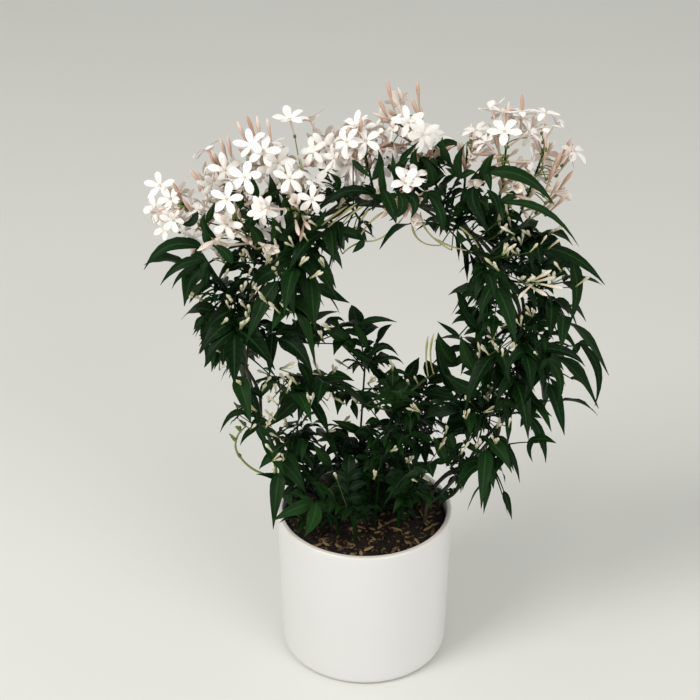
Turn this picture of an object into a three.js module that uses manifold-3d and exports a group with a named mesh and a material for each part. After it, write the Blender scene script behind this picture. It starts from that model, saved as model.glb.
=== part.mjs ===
// Pink jasmine (Jasminum polyanthum) trained round a wire hoop, in a white glazed pot.
//
// Millimetres, +Z up. The origin is the middle of the pot's foot, on the surface that it stands on.
// The hoop stands in the XZ plane and -Y is the plant's best side.
//
// The plant grows by rule. Four stems wind up the hoop's wire, leafy shoots leave them, and flower
// sprays stand out of the crown. Each shoot and spray draws its small differences from a seed of its
// own. A leaf that would cross another node turns, bends or shortens until it is clear.
import * as THREE from "three";
import { mergeVertices } from "three/addons/utils/BufferGeometryUtils.js";
import Module from "manifold-3d";

// ---------------------------------------------------------------- driving dimensions

const POT = {
  rimRadius: 70,
  footRadius: 67.5,
  height: 128,
  wall: 4.5,
  floor: 7,
  footEdge: 6, // the roundings' radii
  rimEdge: 1.5,
  sides: 28,
};
const SOIL = { level: 121, relief: 1.6, rings: [20, 40, 58], shoulder: 2, sides: 16 };
const CLEAR = 0.35; // the gap left between two nodes that touch on the real plant
const HOLE_GAP = 0.5; // the gap round a stem in its hole in the soil

const HOOP = { wireRadius: 1.5, inSoil: 62, steps: 36, sides: 5 };
// The hoop's route as [x, z], from where the right leg enters the soil, over the top, to the left leg.
const HOOP_ROUTE = [
  [48, 126], [68, 150], [103, 200], [118, 255], [112, 315], [78, 368], [22, 394],
  [-38, 378], [-80, 328], [-92, 272], [-80, 210], [-62, 158], [-50, 126],
];
const WINDING = { turns: 7.25, radius: 4.4, spread: 6, spreadHeight: 60, inSoil: 42, step: 18, sides: 4 };
// Each stem winds over a stretch of the hoop, given as shares of the route from the right leg.
const STEMS = [
  { name: "stem_right_a", from: 0, to: 0.6, phase: 90, radius: 1.7 },
  { name: "stem_right_b", from: 0, to: 0.56, phase: 270, radius: 1.5 },
  { name: "stem_left_a", from: 1, to: 0.5, phase: 0, radius: 1.7 },
  { name: "stem_left_b", from: 1, to: 0.58, phase: 180, radius: 1.5 },
];
const STEM_TIP = 0.9; // a stem's radius at its tip
// A shoot or spray leaves a stem within reach of its share of the route, above the bare foot of the stem.
const LEAVING = { reach: 0.09, bareFoot: 12, pull: 9 };

const BLADE = 0.8; // thickness of leaflets and petals
// A pinnate leaf: pairs of side leaflets on a rib, and a larger leaflet at its end.
const LEAF = {
  root: 0.5, // half the width of the stalk where it leaves the shoot
  rib: 0.9, // half the width of the rib
  rootSpan: 1.7, // half the stretch of rib that a side leaflet grows from
  sideAngle: 55, // between a side leaflet and the rib
  rachis: 0.5, // stalk and rib before the end leaflet, as a share of the leaf's length
  sideLength: 0.42, // the longest side leaflet, as a share of the leaf's length
  sideWidth: 0.5, // a leaflet's width as a share of its own length
  endWidth: 0.44,
  sideBelly: 0.42, // how far along a leaflet is widest
  endBelly: 0.36,
};
// How a shoot carries its leaves, in degrees and in shares of their length. Each leaf draws its own value
// between the two.
const HABIT = {
  tip: { droop: [0.26, 0.44], roll: [-14, 14] },
  side: {
    open: [46, 66], // away from the shoot
    tilt: [-30, 30], // of a whole pair, round the shoot
    turn: [-18, 18], // of one leaf, round the shoot
    length: [0.84, 1],
    droop: [0.16, 0.42],
    roll: [-24, 24],
  },
};
const SHOOT = { baseRadius: 1.4, tipRadius: 1, shortest: 14, inSoil: 30, lead: 6, rise: 5 };

// A flower: the tube's length and radii, and the radius of the star's lobes and of the notches between
// them. A lobe's tip is bent back, so it is raised less over the tube's end than a notch.
const FLOWER = {
  tube: [16, 21],
  neck: 0.5,
  throat: 1.4,
  lobes: { radius: 13, raised: 0.4 },
  notches: { radius: 6.2, raised: 1 },
};
const BUD = { length: [17.2, 26.4], radius: 2, neck: 0.55, belly: 0.72 };
// A spray's head: its stalk's radii, the stretch of stalk that blooms, and how far they lean from its axis.
const HEAD = {
  radii: [1.5, 1.4, 1.4, 1.3],
  lead: 10,
  blooms: [0.66, 0.98],
  flowersLean: 88,
  budsLean: 80,
  facing: [0, -0.55, 0.45], // added to the stalk's own direction
};

// The plant is looked at from its best side and from a little above, so what stands forward of the hoop
// seems lower: height seen = z + LOOK * y.
const LOOK = 0.55;
// The clear view through the ring, level and along that look: no leaf may enter it.
const WINDOW = { x: [-12, 60], z: [284, 350], seen: [292, 360], y: 90 };
// The front of the soil, which the leaves leave open too.
const OPEN_SOIL = { x: [-22, 76], seen: [60, 140] };
// The outline that the foliage fills, as [height seen, left, right].
const OUTLINE = [
  [100, -78, 116], [150, -92, 124], [200, -112, 150], [225, -118, 184], [260, -128, 178],
  [300, -136, 174], [340, -166, 180], [400, -160, 156], [500, -160, 156],
];

// ---------------------------------------------------------------- hand-set shoots and sprays

// A leafy shoot leaves the stems near a share of the hoop's route, and its last leaf reaches out to tip.
// leaf is a whole leaf's length; leaves have five leaflets, or the number given.
const SHOOTS = [
  { at: 0.14, tip: [108, -28, 188], leaf: 56, leaflets: 3 },
  { at: 0.19, tip: [138, -2, 186], leaf: 60, leaflets: 3 },
  { at: 0.24, tip: [150, -24, 232], leaf: 68 },
  { at: 0.25, tip: [180, 2, 226], leaf: 84 },
  { at: 0.27, tip: [118, -74, 276], leaf: 70, leaflets: 3 },
  { at: 0.28, tip: [148, 50, 258], leaf: 68, leaflets: 3 },
  { at: 0.34, tip: [174, 0, 328], leaf: 78, leaflets: 3 },
  { at: 0.34, tip: [104, -76, 326], leaf: 70, leaflets: 3 },
  { at: 0.36, tip: [138, 62, 340], leaf: 70, leaflets: 3 },
  { at: 0.4, tip: [146, -24, 372], leaf: 84 },
  { at: 0.42, tip: [98, -72, 378], leaf: 74, leaflets: 3 },
  { at: 0.45, tip: [54, -36, 446], leaf: 64, leaflets: 3 },
  { at: 0.31, tip: [68, -20, 324], leaf: 54, leaflets: 3 },
  { at: 0.27, tip: [65, -40, 302], leaf: 64, leaflets: 3 },
  { at: 0.17, tip: [44, -50, 240], leaf: 70, leaflets: 3 },
  { at: 0.53, tip: [4, -38, 384], leaf: 64, leaflets: 3 },
  { at: 0.57, tip: [-34, 64, 392], leaf: 64, leaflets: 3 },
  { at: 0.61, tip: [-56, -76, 372], leaf: 70, leaflets: 3 },
  { at: 0.6, tip: [-22, -14, 356], leaf: 54, leaflets: 3 },
  { at: 0.64, tip: [-96, 62, 372], leaf: 68, leaflets: 3 },
  { at: 0.66, tip: [-160, -10, 346], leaf: 84 },
  { at: 0.69, tip: [-98, -70, 332], leaf: 72, leaflets: 3 },
  { at: 0.71, tip: [-128, 42, 288], leaf: 66, leaflets: 3 },
  { at: 0.7, tip: [-24, -28, 334], leaf: 66, leaflets: 3 },
  { at: 0.75, tip: [14, -12, 279], leaf: 60, leaflets: 3 },
  { at: 0.73, tip: [-124, -24, 282], leaf: 68, leaflets: 3 },
  { at: 0.8, tip: [-98, 54, 216], leaf: 64, leaflets: 3 },
  { at: 0.79, tip: [2, -44, 280], leaf: 66, leaflets: 3 },
  { at: 0.83, tip: [-104, -14, 212], leaf: 58, leaflets: 3 },
  { at: 0.88, tip: [-30, -34, 204], leaf: 60, leaflets: 3 },
  { at: 0.08, tip: [114, -8, 126], pairs: 2, leaf: 36, leaflets: 3 },
];
// Young shoots that rise straight from the soil. rise is how far they go up before they lean to their tip.
const SOIL_SHOOTS = [
  { root: [-6, 12], tip: [2, 14, 296], pairs: 2, leaf: 48, rise: 20, leaflets: 3 },
  { root: [8, -14], tip: [26, -34, 282], pairs: 2, leaf: 54, rise: 24, leaflets: 3 },
  { root: [24, 22], tip: [58, 40, 256], pairs: 1, leaf: 58, rise: 18, leaflets: 3 },
  { root: [26, -22], tip: [50, -56, 224], pairs: 1, leaf: 64, rise: 24, leaflets: 3 },
  { root: [-22, -30], tip: [-66, -38, 140], pairs: 1, leaf: 44, rise: 24, leaflets: 3 },
  { root: [-8, -38], tip: [-24, -62, 214], pairs: 1, leaf: 64, rise: 14, leaflets: 3 },
];

// A spray: where it leaves the stems, where its head is, and how many flowers and buds it has.
const SPRAYS = [
  { at: 0.7, head: [-132, -8, 396], flowers: 5, buds: 3 },
  { at: 0.67, head: [-106, 4, 420], flowers: 5, buds: 5 },
  { at: 0.665, head: [-92, -40, 398], flowers: 6, buds: 3 },
  { at: 0.63, head: [-72, -8, 430], flowers: 6, buds: 6 },
  { at: 0.61, head: [-54, -46, 408], flowers: 6, buds: 3 },
  { at: 0.575, head: [-34, 18, 432], flowers: 5, buds: 4 },
  { at: 0.53, head: [-2, -14, 440], flowers: 6, buds: 4 },
  { at: 0.49, head: [26, 0, 452], flowers: 6, buds: 8 },
  { at: 0.505, head: [24, -36, 412], flowers: 3, buds: 5 },
  { at: 0.45, head: [72, 8, 436], flowers: 2, buds: 3 },
  { at: 0.4, head: [98, -10, 446], flowers: 6, buds: 4 },
  { at: 0.37, head: [126, 4, 430], flowers: 4, buds: 6 },
  { at: 0.34, head: [120, -44, 350], flowers: 0, buds: 4 },
];
const SEEDS = { shoots: 100, soilShoots: 200, sprays: 300 };

// ---------------------------------------------------------------- small mathematics

const V = (x, y, z) => new THREE.Vector3(x, y, z);
const UP = V(0, 0, 1);
const rad = THREE.MathUtils.degToRad;
const mix = THREE.MathUtils.lerp;
const between = ([low, high], share) => mix(low, high, share);
const plus = (p, d, k) => p.clone().addScaledVector(d, k);
const evenly = (n, make) => Array.from({ length: n + 1 }, (_, i) => make(i / n));

// A seeded stream of numbers from 0 to 1 (mulberry32).
function draws(seed) {
  let a = seed >>> 0;
  return () => {
    a = (a + 0x6d2b79f5) >>> 0;
    let t = a;
    t = Math.imul(t ^ (t >>> 15), t | 1);
    t ^= t + Math.imul(t ^ (t >>> 7), t | 61);
    return ((t ^ (t >>> 14)) >>> 0) / 4294967296;
  };
}

// Two unit vectors square to a direction; the first is level.
function across(direction) {
  const level = V(0, 0, 0).crossVectors(direction, UP);
  if (level.length() < 1e-3) level.set(1, 0, 0);
  level.normalize();
  return [level, V(0, 0, 0).crossVectors(level, direction).normalize()];
}

// ---------------------------------------------------------------- the hoop and what winds round it

const HOOP_DIVISIONS = 400;
const hoopPoints = HOOP_ROUTE.map(([x, z]) => V(x, 0, z));
const hoopCurve = new THREE.CatmullRomCurve3(hoopPoints, false, "catmullrom", 0.5);
hoopCurve.arcLengthDivisions = HOOP_DIVISIONS;
const HOOP_LENGTH = hoopCurve.getLength();
const NEARBY = 0.004; // a short step along the route, for its direction

// The hoop's point at a share of the route, with its outward normal.
function onHoop(share) {
  const u = Math.min(1, Math.max(0, share));
  const point = hoopCurve.getPointAt(u);
  const ahead = hoopCurve.getPointAt(Math.min(1, u + NEARBY));
  const behind = hoopCurve.getPointAt(Math.max(0, u - NEARBY));
  const tangent = ahead.sub(behind).normalize();
  return { point, outward: V(tangent.z, 0, -tangent.x) };
}

// The way from the wire to a stem at a share of the route.
function windingOffset(stem, share) {
  const turn = rad(stem.phase) + 2 * Math.PI * WINDING.turns * share;
  return onHoop(share).outward.multiplyScalar(Math.cos(turn)).add(V(0, -Math.sin(turn), 0));
}

function stemPoint(stem, share) {
  const { point } = onHoop(share);
  const nearSoil = 1 - THREE.MathUtils.smoothstep(point.z - SOIL.level, 0, WINDING.spreadHeight);
  return plus(point, windingOffset(stem, share), WINDING.radius + WINDING.spread * nearSoil);
}

function stemRadius(stem, share) {
  const grown = Math.abs(share - stem.from) / Math.abs(stem.to - stem.from);
  return mix(stem.radius, STEM_TIP, grown);
}

// A stem's bends, from the soil to its tip. A shoot or spray leaves it only there, at its nodes.
function stemBends(stem) {
  const n = Math.round((Math.abs(stem.to - stem.from) * HOOP_LENGTH) / WINDING.step);
  return evenly(n, (grown) => {
    const share = mix(stem.from, stem.to, grown);
    const [point, way] = [stemPoint(stem, share), windingOffset(stem, share)];
    return { stem, share, point, way, radius: stemRadius(stem, share) };
  });
}
const BENDS = STEMS.flatMap(stemBends);

// The stems' nodes near a share of the route, those that face a point best first, each with a start just
// clear of the stem's skin.
function leavings(at, towards) {
  const { reach, bareFoot, pull } = LEAVING;
  const aim = towards.clone().sub(onHoop(at).point).normalize();
  const near = BENDS.filter(({ share }) => Math.abs(share - at) < reach);
  return near
    .filter(({ point }) => point.z > SOIL.level + bareFoot)
    .map((bend) => ({
      ...bend,
      start: plus(bend.point, bend.way, bend.radius + CLEAR),
      fit: bend.way.dot(aim) - pull * Math.abs(bend.share - at),
    }))
    .sort((a, b) => b.fit - a.fit);
}

// ---------------------------------------------------------------- room to grow

// Points on what has grown so far, each with a radius, its node's name and its piece within the node, in
// cells for a quick search. Pieces of one node keep clear of each other too, but for the shared stalk.
const CELL = 6;
const STEP = 1.8; // between two of the points
const SLACK = { others: 1.7, own: 0.9 }; // the gap, with the share of the step between points
const STALK_ROOM = 1.2; // the radius that a shoot's or spray's stalk keeps free
const room = new Map();
const cellOf = (p) => [p.x, p.y, p.z].map((c) => Math.floor(c / CELL));

function occupy(points, node) {
  for (const point of points) {
    const key = cellOf(point.p).join();
    if (!room.has(key)) room.set(key, []);
    room.get(key).push({ ...point, node });
  }
}

// Whether a ball lies in the pot or the soil, or within the slack of them.
function inPot(p, r) {
  const out = Math.hypot(p.x, p.y);
  const slack = SLACK.others;
  if (out < POT.rimRadius - POT.wall - slack) return p.z - r < SOIL.level + SOIL.relief + slack;
  return out < POT.rimRadius + r + slack && p.z - r < POT.height + slack;
}

const heightSeen = (p) => p.z + LOOK * p.y;
const within = (value, [low, high]) => value > low && value < high;

function inWindow(p) {
  const { x, z, seen, y } = WINDOW;
  return within(p.x, x) && Math.abs(p.y) < y && (within(p.z, z) || within(heightSeen(p), seen));
}

function beyondOutline(p) {
  const height = heightSeen(p);
  if (within(p.x, OPEN_SOIL.x) && within(height, OPEN_SOIL.seen)) return true;
  const i = OUTLINE.findIndex(([level]) => level > height);
  if (i < 1) return false;
  const [[low, ...sides], [high, ...above]] = OUTLINE.slice(i - 1);
  const share = (height - low) / (high - low);
  return p.x < mix(sides[0], above[0], share) || p.x > mix(sides[1], above[1], share);
}

function meets(a, b, node) {
  if (a.carrier === b.node) return false;
  if (b.node === node && !(a.piece && b.piece && a.piece !== b.piece)) return false;
  const slack = b.node === node ? SLACK.own : SLACK.others;
  return a.p.distanceTo(b.p) < a.r + b.r + slack;
}

// Whether any of the points crowds another node, another piece of its own, the pot or the window.
function crowded(points, node) {
  return points.some((point) => {
    if (inPot(point.p, point.r) || inWindow(point.p)) return true;
    const [ci, cj, ck] = cellOf(point.p);
    for (let i = ci - 1; i <= ci + 1; i++)
      for (let j = cj - 1; j <= cj + 1; j++)
        for (let k = ck - 1; k <= ck + 1; k++)
          if (room.get(`${i},${j},${k}`)?.some((other) => meets(point, other, node))) return true;
    return false;
  });
}

// Points along a straight line.
function alongLine(a, b, r) {
  const n = Math.max(1, Math.ceil(a.distanceTo(b) / STEP));
  return evenly(n, (t) => ({ p: a.clone().lerp(b, t), r }));
}

// ---------------------------------------------------------------- solids

const wasm = await Module();
wasm.setup();

function solidOf(geometry) {
  const g = geometry.clone();
  for (const name of ["normal", "uv"]) g.deleteAttribute(name);
  const merged = mergeVertices(g, 1e-4);
  return new wasm.Manifold(
    new wasm.Mesh({
      numProp: 3,
      vertProperties: merged.attributes.position.array,
      triVerts: new Uint32Array(merged.index.array),
    }),
  );
}

function geometryOf(solid) {
  const m = solid.getMesh();
  const position = new Float32Array(m.numVert * 3);
  for (let i = 0; i < m.numVert; i++) {
    position.set(m.vertProperties.subarray(i * m.numProp, i * m.numProp + 3), i * 3);
  }
  const g = new THREE.BufferGeometry();
  g.setAttribute("position", new THREE.BufferAttribute(position, 3));
  g.setIndex(new THREE.BufferAttribute(new Uint32Array(m.triVerts), 1));
  g.computeVertexNormals();
  return g;
}

// One body from several that are rooted in each other. A scrap that stays loose is dropped.
function fuse(solids) {
  const bodies = wasm.Manifold.union(solids).decompose();
  return bodies.reduce((a, b) => (b.volume() > a.volume() ? b : a));
}

function meshGeometry(vertices, triangles) {
  const g = new THREE.BufferGeometry();
  g.setAttribute("position", new THREE.Float32BufferAttribute(vertices.flatMap((v) => [v.x, v.y, v.z]), 3));
  g.setIndex(triangles.flat());
  return g;
}

// A blade: a surface of triangles, thickened to both sides and closed round its edge.
function blade({ vertices, triangles }) {
  const normals = vertices.map(() => V(0, 0, 0));
  for (const [a, b, c] of triangles) {
    const ab = vertices[b].clone().sub(vertices[a]);
    const n = ab.cross(vertices[c].clone().sub(vertices[a]));
    for (const i of [a, b, c]) normals[i].add(n);
  }
  normals.forEach((n) => n.normalize());
  const top = vertices.map((v, i) => plus(v, normals[i], BLADE / 2));
  const under = vertices.map((v, i) => plus(v, normals[i], -BLADE / 2));
  const n = vertices.length;
  const faces = [];
  const edges = new Set();
  for (const [a, b, c] of triangles) {
    faces.push([a, b, c], [a + n, c + n, b + n]);
    for (const [i, j] of [[a, b], [b, c], [c, a]]) edges.add(`${i},${j}`);
  }
  for (const edge of edges) {
    const [i, j] = edge.split(",").map(Number);
    if (!edges.has(`${j},${i}`)) faces.push([i, i + n, j + n], [i, j + n, j]);
  }
  return solidOf(meshGeometry([...top, ...under], faces));
}

// A closed round stalk through points, with a radius at each; a last radius of 0 ends in a point. Its first
// face is square to the way given, or to the stalk.
function stalk(points, radii, sides, way) {
  const vertices = [];
  const faces = [];
  let [side, square] = across(points[1].clone().sub(points[0]).normalize());
  points.forEach((p, i) => {
    const before = points[Math.max(0, i - 1)];
    const after = points[Math.min(points.length - 1, i + 1)];
    const t = i === 0 && way ? way.clone() : after.clone().sub(before).normalize();
    side = plus(side, t, -side.dot(t)).normalize();
    square = V(0, 0, 0).crossVectors(t, side);
    for (let k = 0; k < sides; k++) {
      const a = (2 * Math.PI * k) / sides;
      vertices.push(plus(plus(p, side, Math.cos(a) * radii[i]), square, Math.sin(a) * radii[i]));
    }
  });
  const rings = points.length;
  const pointed = radii[rings - 1] === 0;
  for (let i = 0; i + 1 < rings; i++)
    for (let k = 0; k < sides; k++) {
      const a = i * sides + k;
      const b = i * sides + ((k + 1) % sides);
      faces.push([a, b, b + sides]);
      if (!(pointed && i === rings - 2)) faces.push([a, b + sides, a + sides]);
    }
  for (let k = 1; k + 1 < sides; k++) {
    faces.push([0, k + 1, k]);
    const last = (rings - 1) * sides;
    if (!pointed) faces.push([last, last + k, last + k + 1]);
  }
  return solidOf(meshGeometry(vertices, faces));
}

// ---------------------------------------------------------------- leaves

// A leaf's shape in space. It leaves base along heading and droops as it goes. along gives the point at a
// share of its length, tangent the direction there, and side the way its width lies.
function leafForm(base, heading, { length, droop, roll }) {
  const [level, square] = across(heading);
  const along = (t) => plus(plus(base, heading, length * t), UP, -droop * length * t * t);
  const tangent = (t) => plus(heading, UP, -2 * droop * t).normalize();
  const side = plus(level.clone().multiplyScalar(Math.cos(roll)), square, Math.sin(roll)).normalize();
  return { length, droop, along, tangent, side };
}

// One side leaflet of a leaf: its length and width, the way its width lies, and its middle line. It
// droops a little by itself, and more on a drooping leaf.
function sideLeaflet(form, t, sign, size) {
  const length = form.length * LEAF.sideLength * size;
  const tangent = form.tangent(t);
  const angle = rad(LEAF.sideAngle);
  const way = tangent.clone().multiplyScalar(Math.cos(angle));
  way.addScaledVector(form.side, sign * Math.sin(angle)).normalize();
  const wide = plus(tangent, way, -tangent.dot(way)).normalize();
  const root = plus(form.along(t), form.side, sign * LEAF.rib);
  const line = (u) => plus(plus(root, way, length * u), UP, -(0.25 + 0.5 * form.droop) * length * u * u);
  return { length, width: length * LEAF.sideWidth, wide, line };
}

// Where the pairs of side leaflets stand, and their sizes.
const PAIRS = { 5: [[0.24, 0.86], [0.42, 1]], 3: [[0.36, 1]] };

// The leaf as a surface: a rib that widens into each pair of leaflets and into the last one.
function leafSurface(form, leaflets) {
  const vertices = [];
  const triangles = [];
  const add = (...points) => points.map((p) => vertices.push(p) - 1);
  const strip = (t, half) => {
    const middle = form.along(t);
    return add(plus(middle, form.side, -half), plus(middle, form.side, half));
  };
  const join = ([a, b], [c, d]) => triangles.push([a, b, d], [a, d, c]);
  const root = LEAF.rootSpan / form.length;
  let last = strip(0, LEAF.root);
  for (const [t, size] of PAIRS[leaflets]) {
    const lower = strip(t - root, LEAF.rib);
    const upper = strip(t + root, LEAF.rib);
    join(last, lower);
    join(lower, upper);
    for (const [sign, i] of [[-1, 0], [1, 1]]) {
      const { width, wide, line } = sideLeaflet(form, t, sign, size);
      const middle = line(LEAF.sideBelly);
      const [near, far, tip] = add(plus(middle, wide, -width / 2), plus(middle, wide, width / 2), line(1));
      const faces = [[lower[i], near, upper[i]], [upper[i], near, far], [near, tip, far]];
      triangles.push(...(sign > 0 ? faces : faces.map(([a, b, c]) => [a, c, b])));
    }
    last = upper;
  }
  const share = 1 - LEAF.rachis;
  const belly = strip(LEAF.rachis + share * LEAF.endBelly, (form.length * share * LEAF.endWidth) / 2);
  const [tip] = add(form.along(1));
  join(last, belly);
  triangles.push([belly[0], belly[1], tip]);
  return { vertices, triangles };
}

// Points over the leaf, for the room it takes. Its first few millimetres may lie by its own shoot.
const LEAF_ROOT = 7;
function leafPoints(form, leaflets, piece) {
  const points = [];
  const r = BLADE / 2;
  const spread = (line, wide, width, length) => {
    const n = Math.ceil(length / STEP);
    for (let i = 1; i <= n; i++) {
      const u = i / n;
      const half = (width / 2) * (u < 0.4 ? 0.25 + 0.75 * (u / 0.4) : (1 - u) / 0.6);
      const m = Math.max(1, Math.ceil(half / STEP));
      for (let j = -m; j <= m; j++) points.push({ p: plus(line(u), wide, (half * j) / m), r, piece });
    }
  };
  for (let d = LEAF_ROOT; d < LEAF.rachis * form.length; d += 2)
    points.push({ p: form.along(d / form.length), r: LEAF.rib, piece });
  for (const [t, size] of PAIRS[leaflets])
    for (const sign of [-1, 1]) {
      const s = sideLeaflet(form, t, sign, size);
      spread(s.line, s.wide, s.width, s.length);
    }
  const share = 1 - LEAF.rachis;
  const length = form.length * share;
  spread((u) => form.along(LEAF.rachis + share * u), form.side, length * LEAF.endWidth, length);
  return points;
}

// The ways a leaf tries, in order, until it is clear: turned round its shoot, lifted, and shortened.
const TRIES = [];
for (const scale of [1, 0.85, 0.7, 0.58])
  for (const turn of [0, 22, -22, 44, -44, 66, -66, 88, -88])
    for (const lift of [0, 22, -22, 40]) TRIES.push({ scale, turn, lift });
const STEEP = { most: 0.93, lean: V(0, -0.4, 0) }; // a leaf that would rise or fall more leans forward

// A leaf on a shoot's axis that has found its room, or null where it has none.
function growLeaf(node, piece, base, axis, { turn, open, length, droop, roll, leaflets }) {
  const [level, square] = across(axis);
  for (const attempt of TRIES) {
    const a = rad(turn + attempt.turn);
    const out = plus(level.clone().multiplyScalar(Math.cos(a)), square, Math.sin(a));
    const o = rad(open + attempt.lift);
    const heading = plus(axis.clone().multiplyScalar(Math.cos(o)), out, Math.sin(o)).normalize();
    if (Math.abs(heading.z) > STEEP.most) heading.add(STEEP.lean).normalize();
    const size = { length: length * attempt.scale, droop, roll };
    const form = leafForm(plus(base, heading, 0.25), heading, size);
    const points = leafPoints(form, leaflets, piece);
    if (!crowded(points, node) && !points.some(({ p }) => beyondOutline(p))) {
      occupy(points, node);
      return form;
    }
  }
  return null;
}

// ---------------------------------------------------------------- leafy shoots

// A bow from start to tip that sets out along a way, then rises or droops to its tip.
function bow(start, way, tip, lead, rise) {
  const control = plus(plus(start, way, lead), UP, rise);
  const line = (t) => {
    const a = start.clone().lerp(control, t);
    return a.lerp(control.clone().lerp(tip, t), t);
  };
  line.way = way;
  return line;
}

function alongAxis(axis, radius) {
  return axis.flatMap((p, i) => (i ? alongLine(axis[i - 1], p, radius(i)) : []));
}
const stalkPoints = (line, steps) => alongAxis(evenly(steps, line), () => STALK_ROOM);

// The first bow from the stems towards a target that crowds nothing on its way to its end. Its root may
// lie by the stem that carries it.
function findRoute(at, target, end, node, lead, rise) {
  for (const { stem, start, way } of leavings(at, target)) {
    const line = bow(start, way, end(start), lead, rise);
    const points = stalkPoints(line, 6).map((q) =>
      q.p.distanceTo(start) < 6 ? { ...q, carrier: stem.name } : q,
    );
    if (!crowded(points, node)) {
      occupy(points, node);
      return line;
    }
  }
  throw new Error(`${node} finds no way out`);
}

// A shoot's axis, from the stems or up from the soil. It stops a leaf short of its last leaf's tip.
function shootLine(shoot, node) {
  const tip = V(...shoot.tip);
  const end = (start) => {
    const reach = tip.distanceTo(start);
    return start.clone().lerp(tip, Math.max(SHOOT.shortest, reach - 0.9 * shoot.leaf) / reach);
  };
  if (!shoot.root) return findRoute(shoot.at, tip, end, node, SHOOT.lead, SHOOT.rise);
  const root = V(...shoot.root, SOIL.level + SHOOT.rise);
  const line = bow(root, UP, end(root), shoot.rise, 0);
  occupy(stalkPoints(line, 10), node);
  return line;
}

// The heading and length of a leaf that droops from its base to a tip.
function leafTo(base, tip, droop) {
  const chord = tip.clone().sub(base);
  let length = chord.length();
  for (let i = 0; i < 4; i++) length = plus(chord, UP, droop * length).length();
  return { heading: plus(chord, UP, droop * length).normalize(), length };
}

// Grows a shoot's leaves: opposite pairs, each pair square to the last, and one leaf at the tip.
function growShoot({ shoot, name: node, line, seed }) {
  const draw = draws(seed);
  const pairs = shoot.pairs ?? 1;
  const leaflets = shoot.leaflets ?? 5;
  const { tip, side } = HABIT;
  const end = line(0.96);
  const droop = between(tip.droop, draw());
  const { heading, length } = leafTo(end, V(...shoot.tip), droop);
  const roll = rad(between(tip.roll, draw()));
  const leaves = [growLeaf(node, "tip", end, heading, { turn: 90, open: 0, length, droop, roll, leaflets })];
  const tilt = between(side.tilt, draw());
  for (let k = 0; k < pairs; k++) {
    const t = mix(shoot.root ? 0.45 : 0.55, 0.86, pairs > 1 ? k / (pairs - 1) : 0.5);
    const way = line(t + 0.03).sub(line(t - 0.03)).normalize();
    for (const half of [0, 180]) {
      leaves.push(
        growLeaf(node, `${k}/${half}`, line(t), way, {
          turn: tilt + 90 * k + half + between(side.turn, draw()),
          open: between(side.open, draw()),
          length: shoot.leaf * between(side.length, draw()),
          droop: between(side.droop, draw()),
          roll: rad(between(side.roll, draw())),
          leaflets,
        }),
      );
    }
  }
  const below = shoot.root ? [V(...shoot.root, SOIL.level - SHOOT.inSoil)] : [];
  const axis = [...below, ...evenly(shoot.root ? 6 : 3, line)];
  return { axis, way: line.way, leaves: leaves.filter(Boolean), leaflets };
}

function shootSolid({ axis, way, leaves, leaflets }) {
  const radii = axis.map((_, i) => mix(SHOOT.baseRadius, SHOOT.tipRadius, i / (axis.length - 1)));
  return fuse([stalk(axis, radii, 3, way), ...leaves.map((form) => blade(leafSurface(form, leaflets)))]);
}

// ---------------------------------------------------------------- flower sprays

// One of some even directions over a cap round an axis, by the golden angle.
const GOLDEN = Math.PI * (3 - Math.sqrt(5));
const DIRECTIONS = 24;
function capDirection(axis, i, widest, twist) {
  const [level, square] = across(axis);
  const tilt = rad(widest) * Math.sqrt((i + 0.5) / DIRECTIONS);
  const a = twist + GOLDEN * i;
  const out = plus(level.clone().multiplyScalar(Math.cos(a)), square, Math.sin(a));
  return plus(axis.clone().multiplyScalar(Math.cos(tilt)), out, Math.sin(tilt)).normalize();
}

// Grows a spray, whose axis leans up and forward. Flowers and buds take turns, and each takes the next
// free direction round the head, or is left out where there is none.
const ATTEMPTS = 40;
function growSpray(spray, node, seed) {
  const draw = draws(seed);
  const head = V(...spray.head);
  const line = findRoute(spray.at, head, () => head, node, HEAD.lead, 0);
  const axis = head.clone().sub(line(0.7)).normalize().add(V(...HEAD.facing)).normalize();
  const twist = draw() * 2 * Math.PI;
  const total = spray.flowers + spray.buds;
  const blooms = [];
  for (let i = 0; i < total; i++) {
    const flowersBy = (n) => Math.floor((n * spray.flowers) / total);
    const isFlower = flowersBy(i + 1) > flowersBy(i);
    const from = line(between(HEAD.blooms, i / (total - 1)));
    const length = between(isFlower ? FLOWER.tube : BUD.length, draw());
    const spin = draw() * 2 * Math.PI;
    const lean = isFlower ? HEAD.flowersLean : HEAD.budsLean;
    for (let k = 0; k < ATTEMPTS; k++) {
      const direction = capDirection(axis, (i * 3 + k) % DIRECTIONS, lean, twist);
      const bloom = { isFlower, from, direction, length, spin };
      const points = bloomPoints(bloom, String(i));
      if (crowded(points, node)) continue;
      occupy(points, node);
      blooms.push(bloom);
      break;
    }
  }
  return { line, blooms };
}

// The way out from a flower's or bud's axis, at an angle round it from its spin.
function crossways(direction, spin) {
  const [level, square] = across(direction);
  return (a, radius) => {
    const out = plus(level.clone().multiplyScalar(Math.cos(a + spin)), square, -Math.sin(a + spin));
    return out.multiplyScalar(radius);
  };
}

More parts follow.
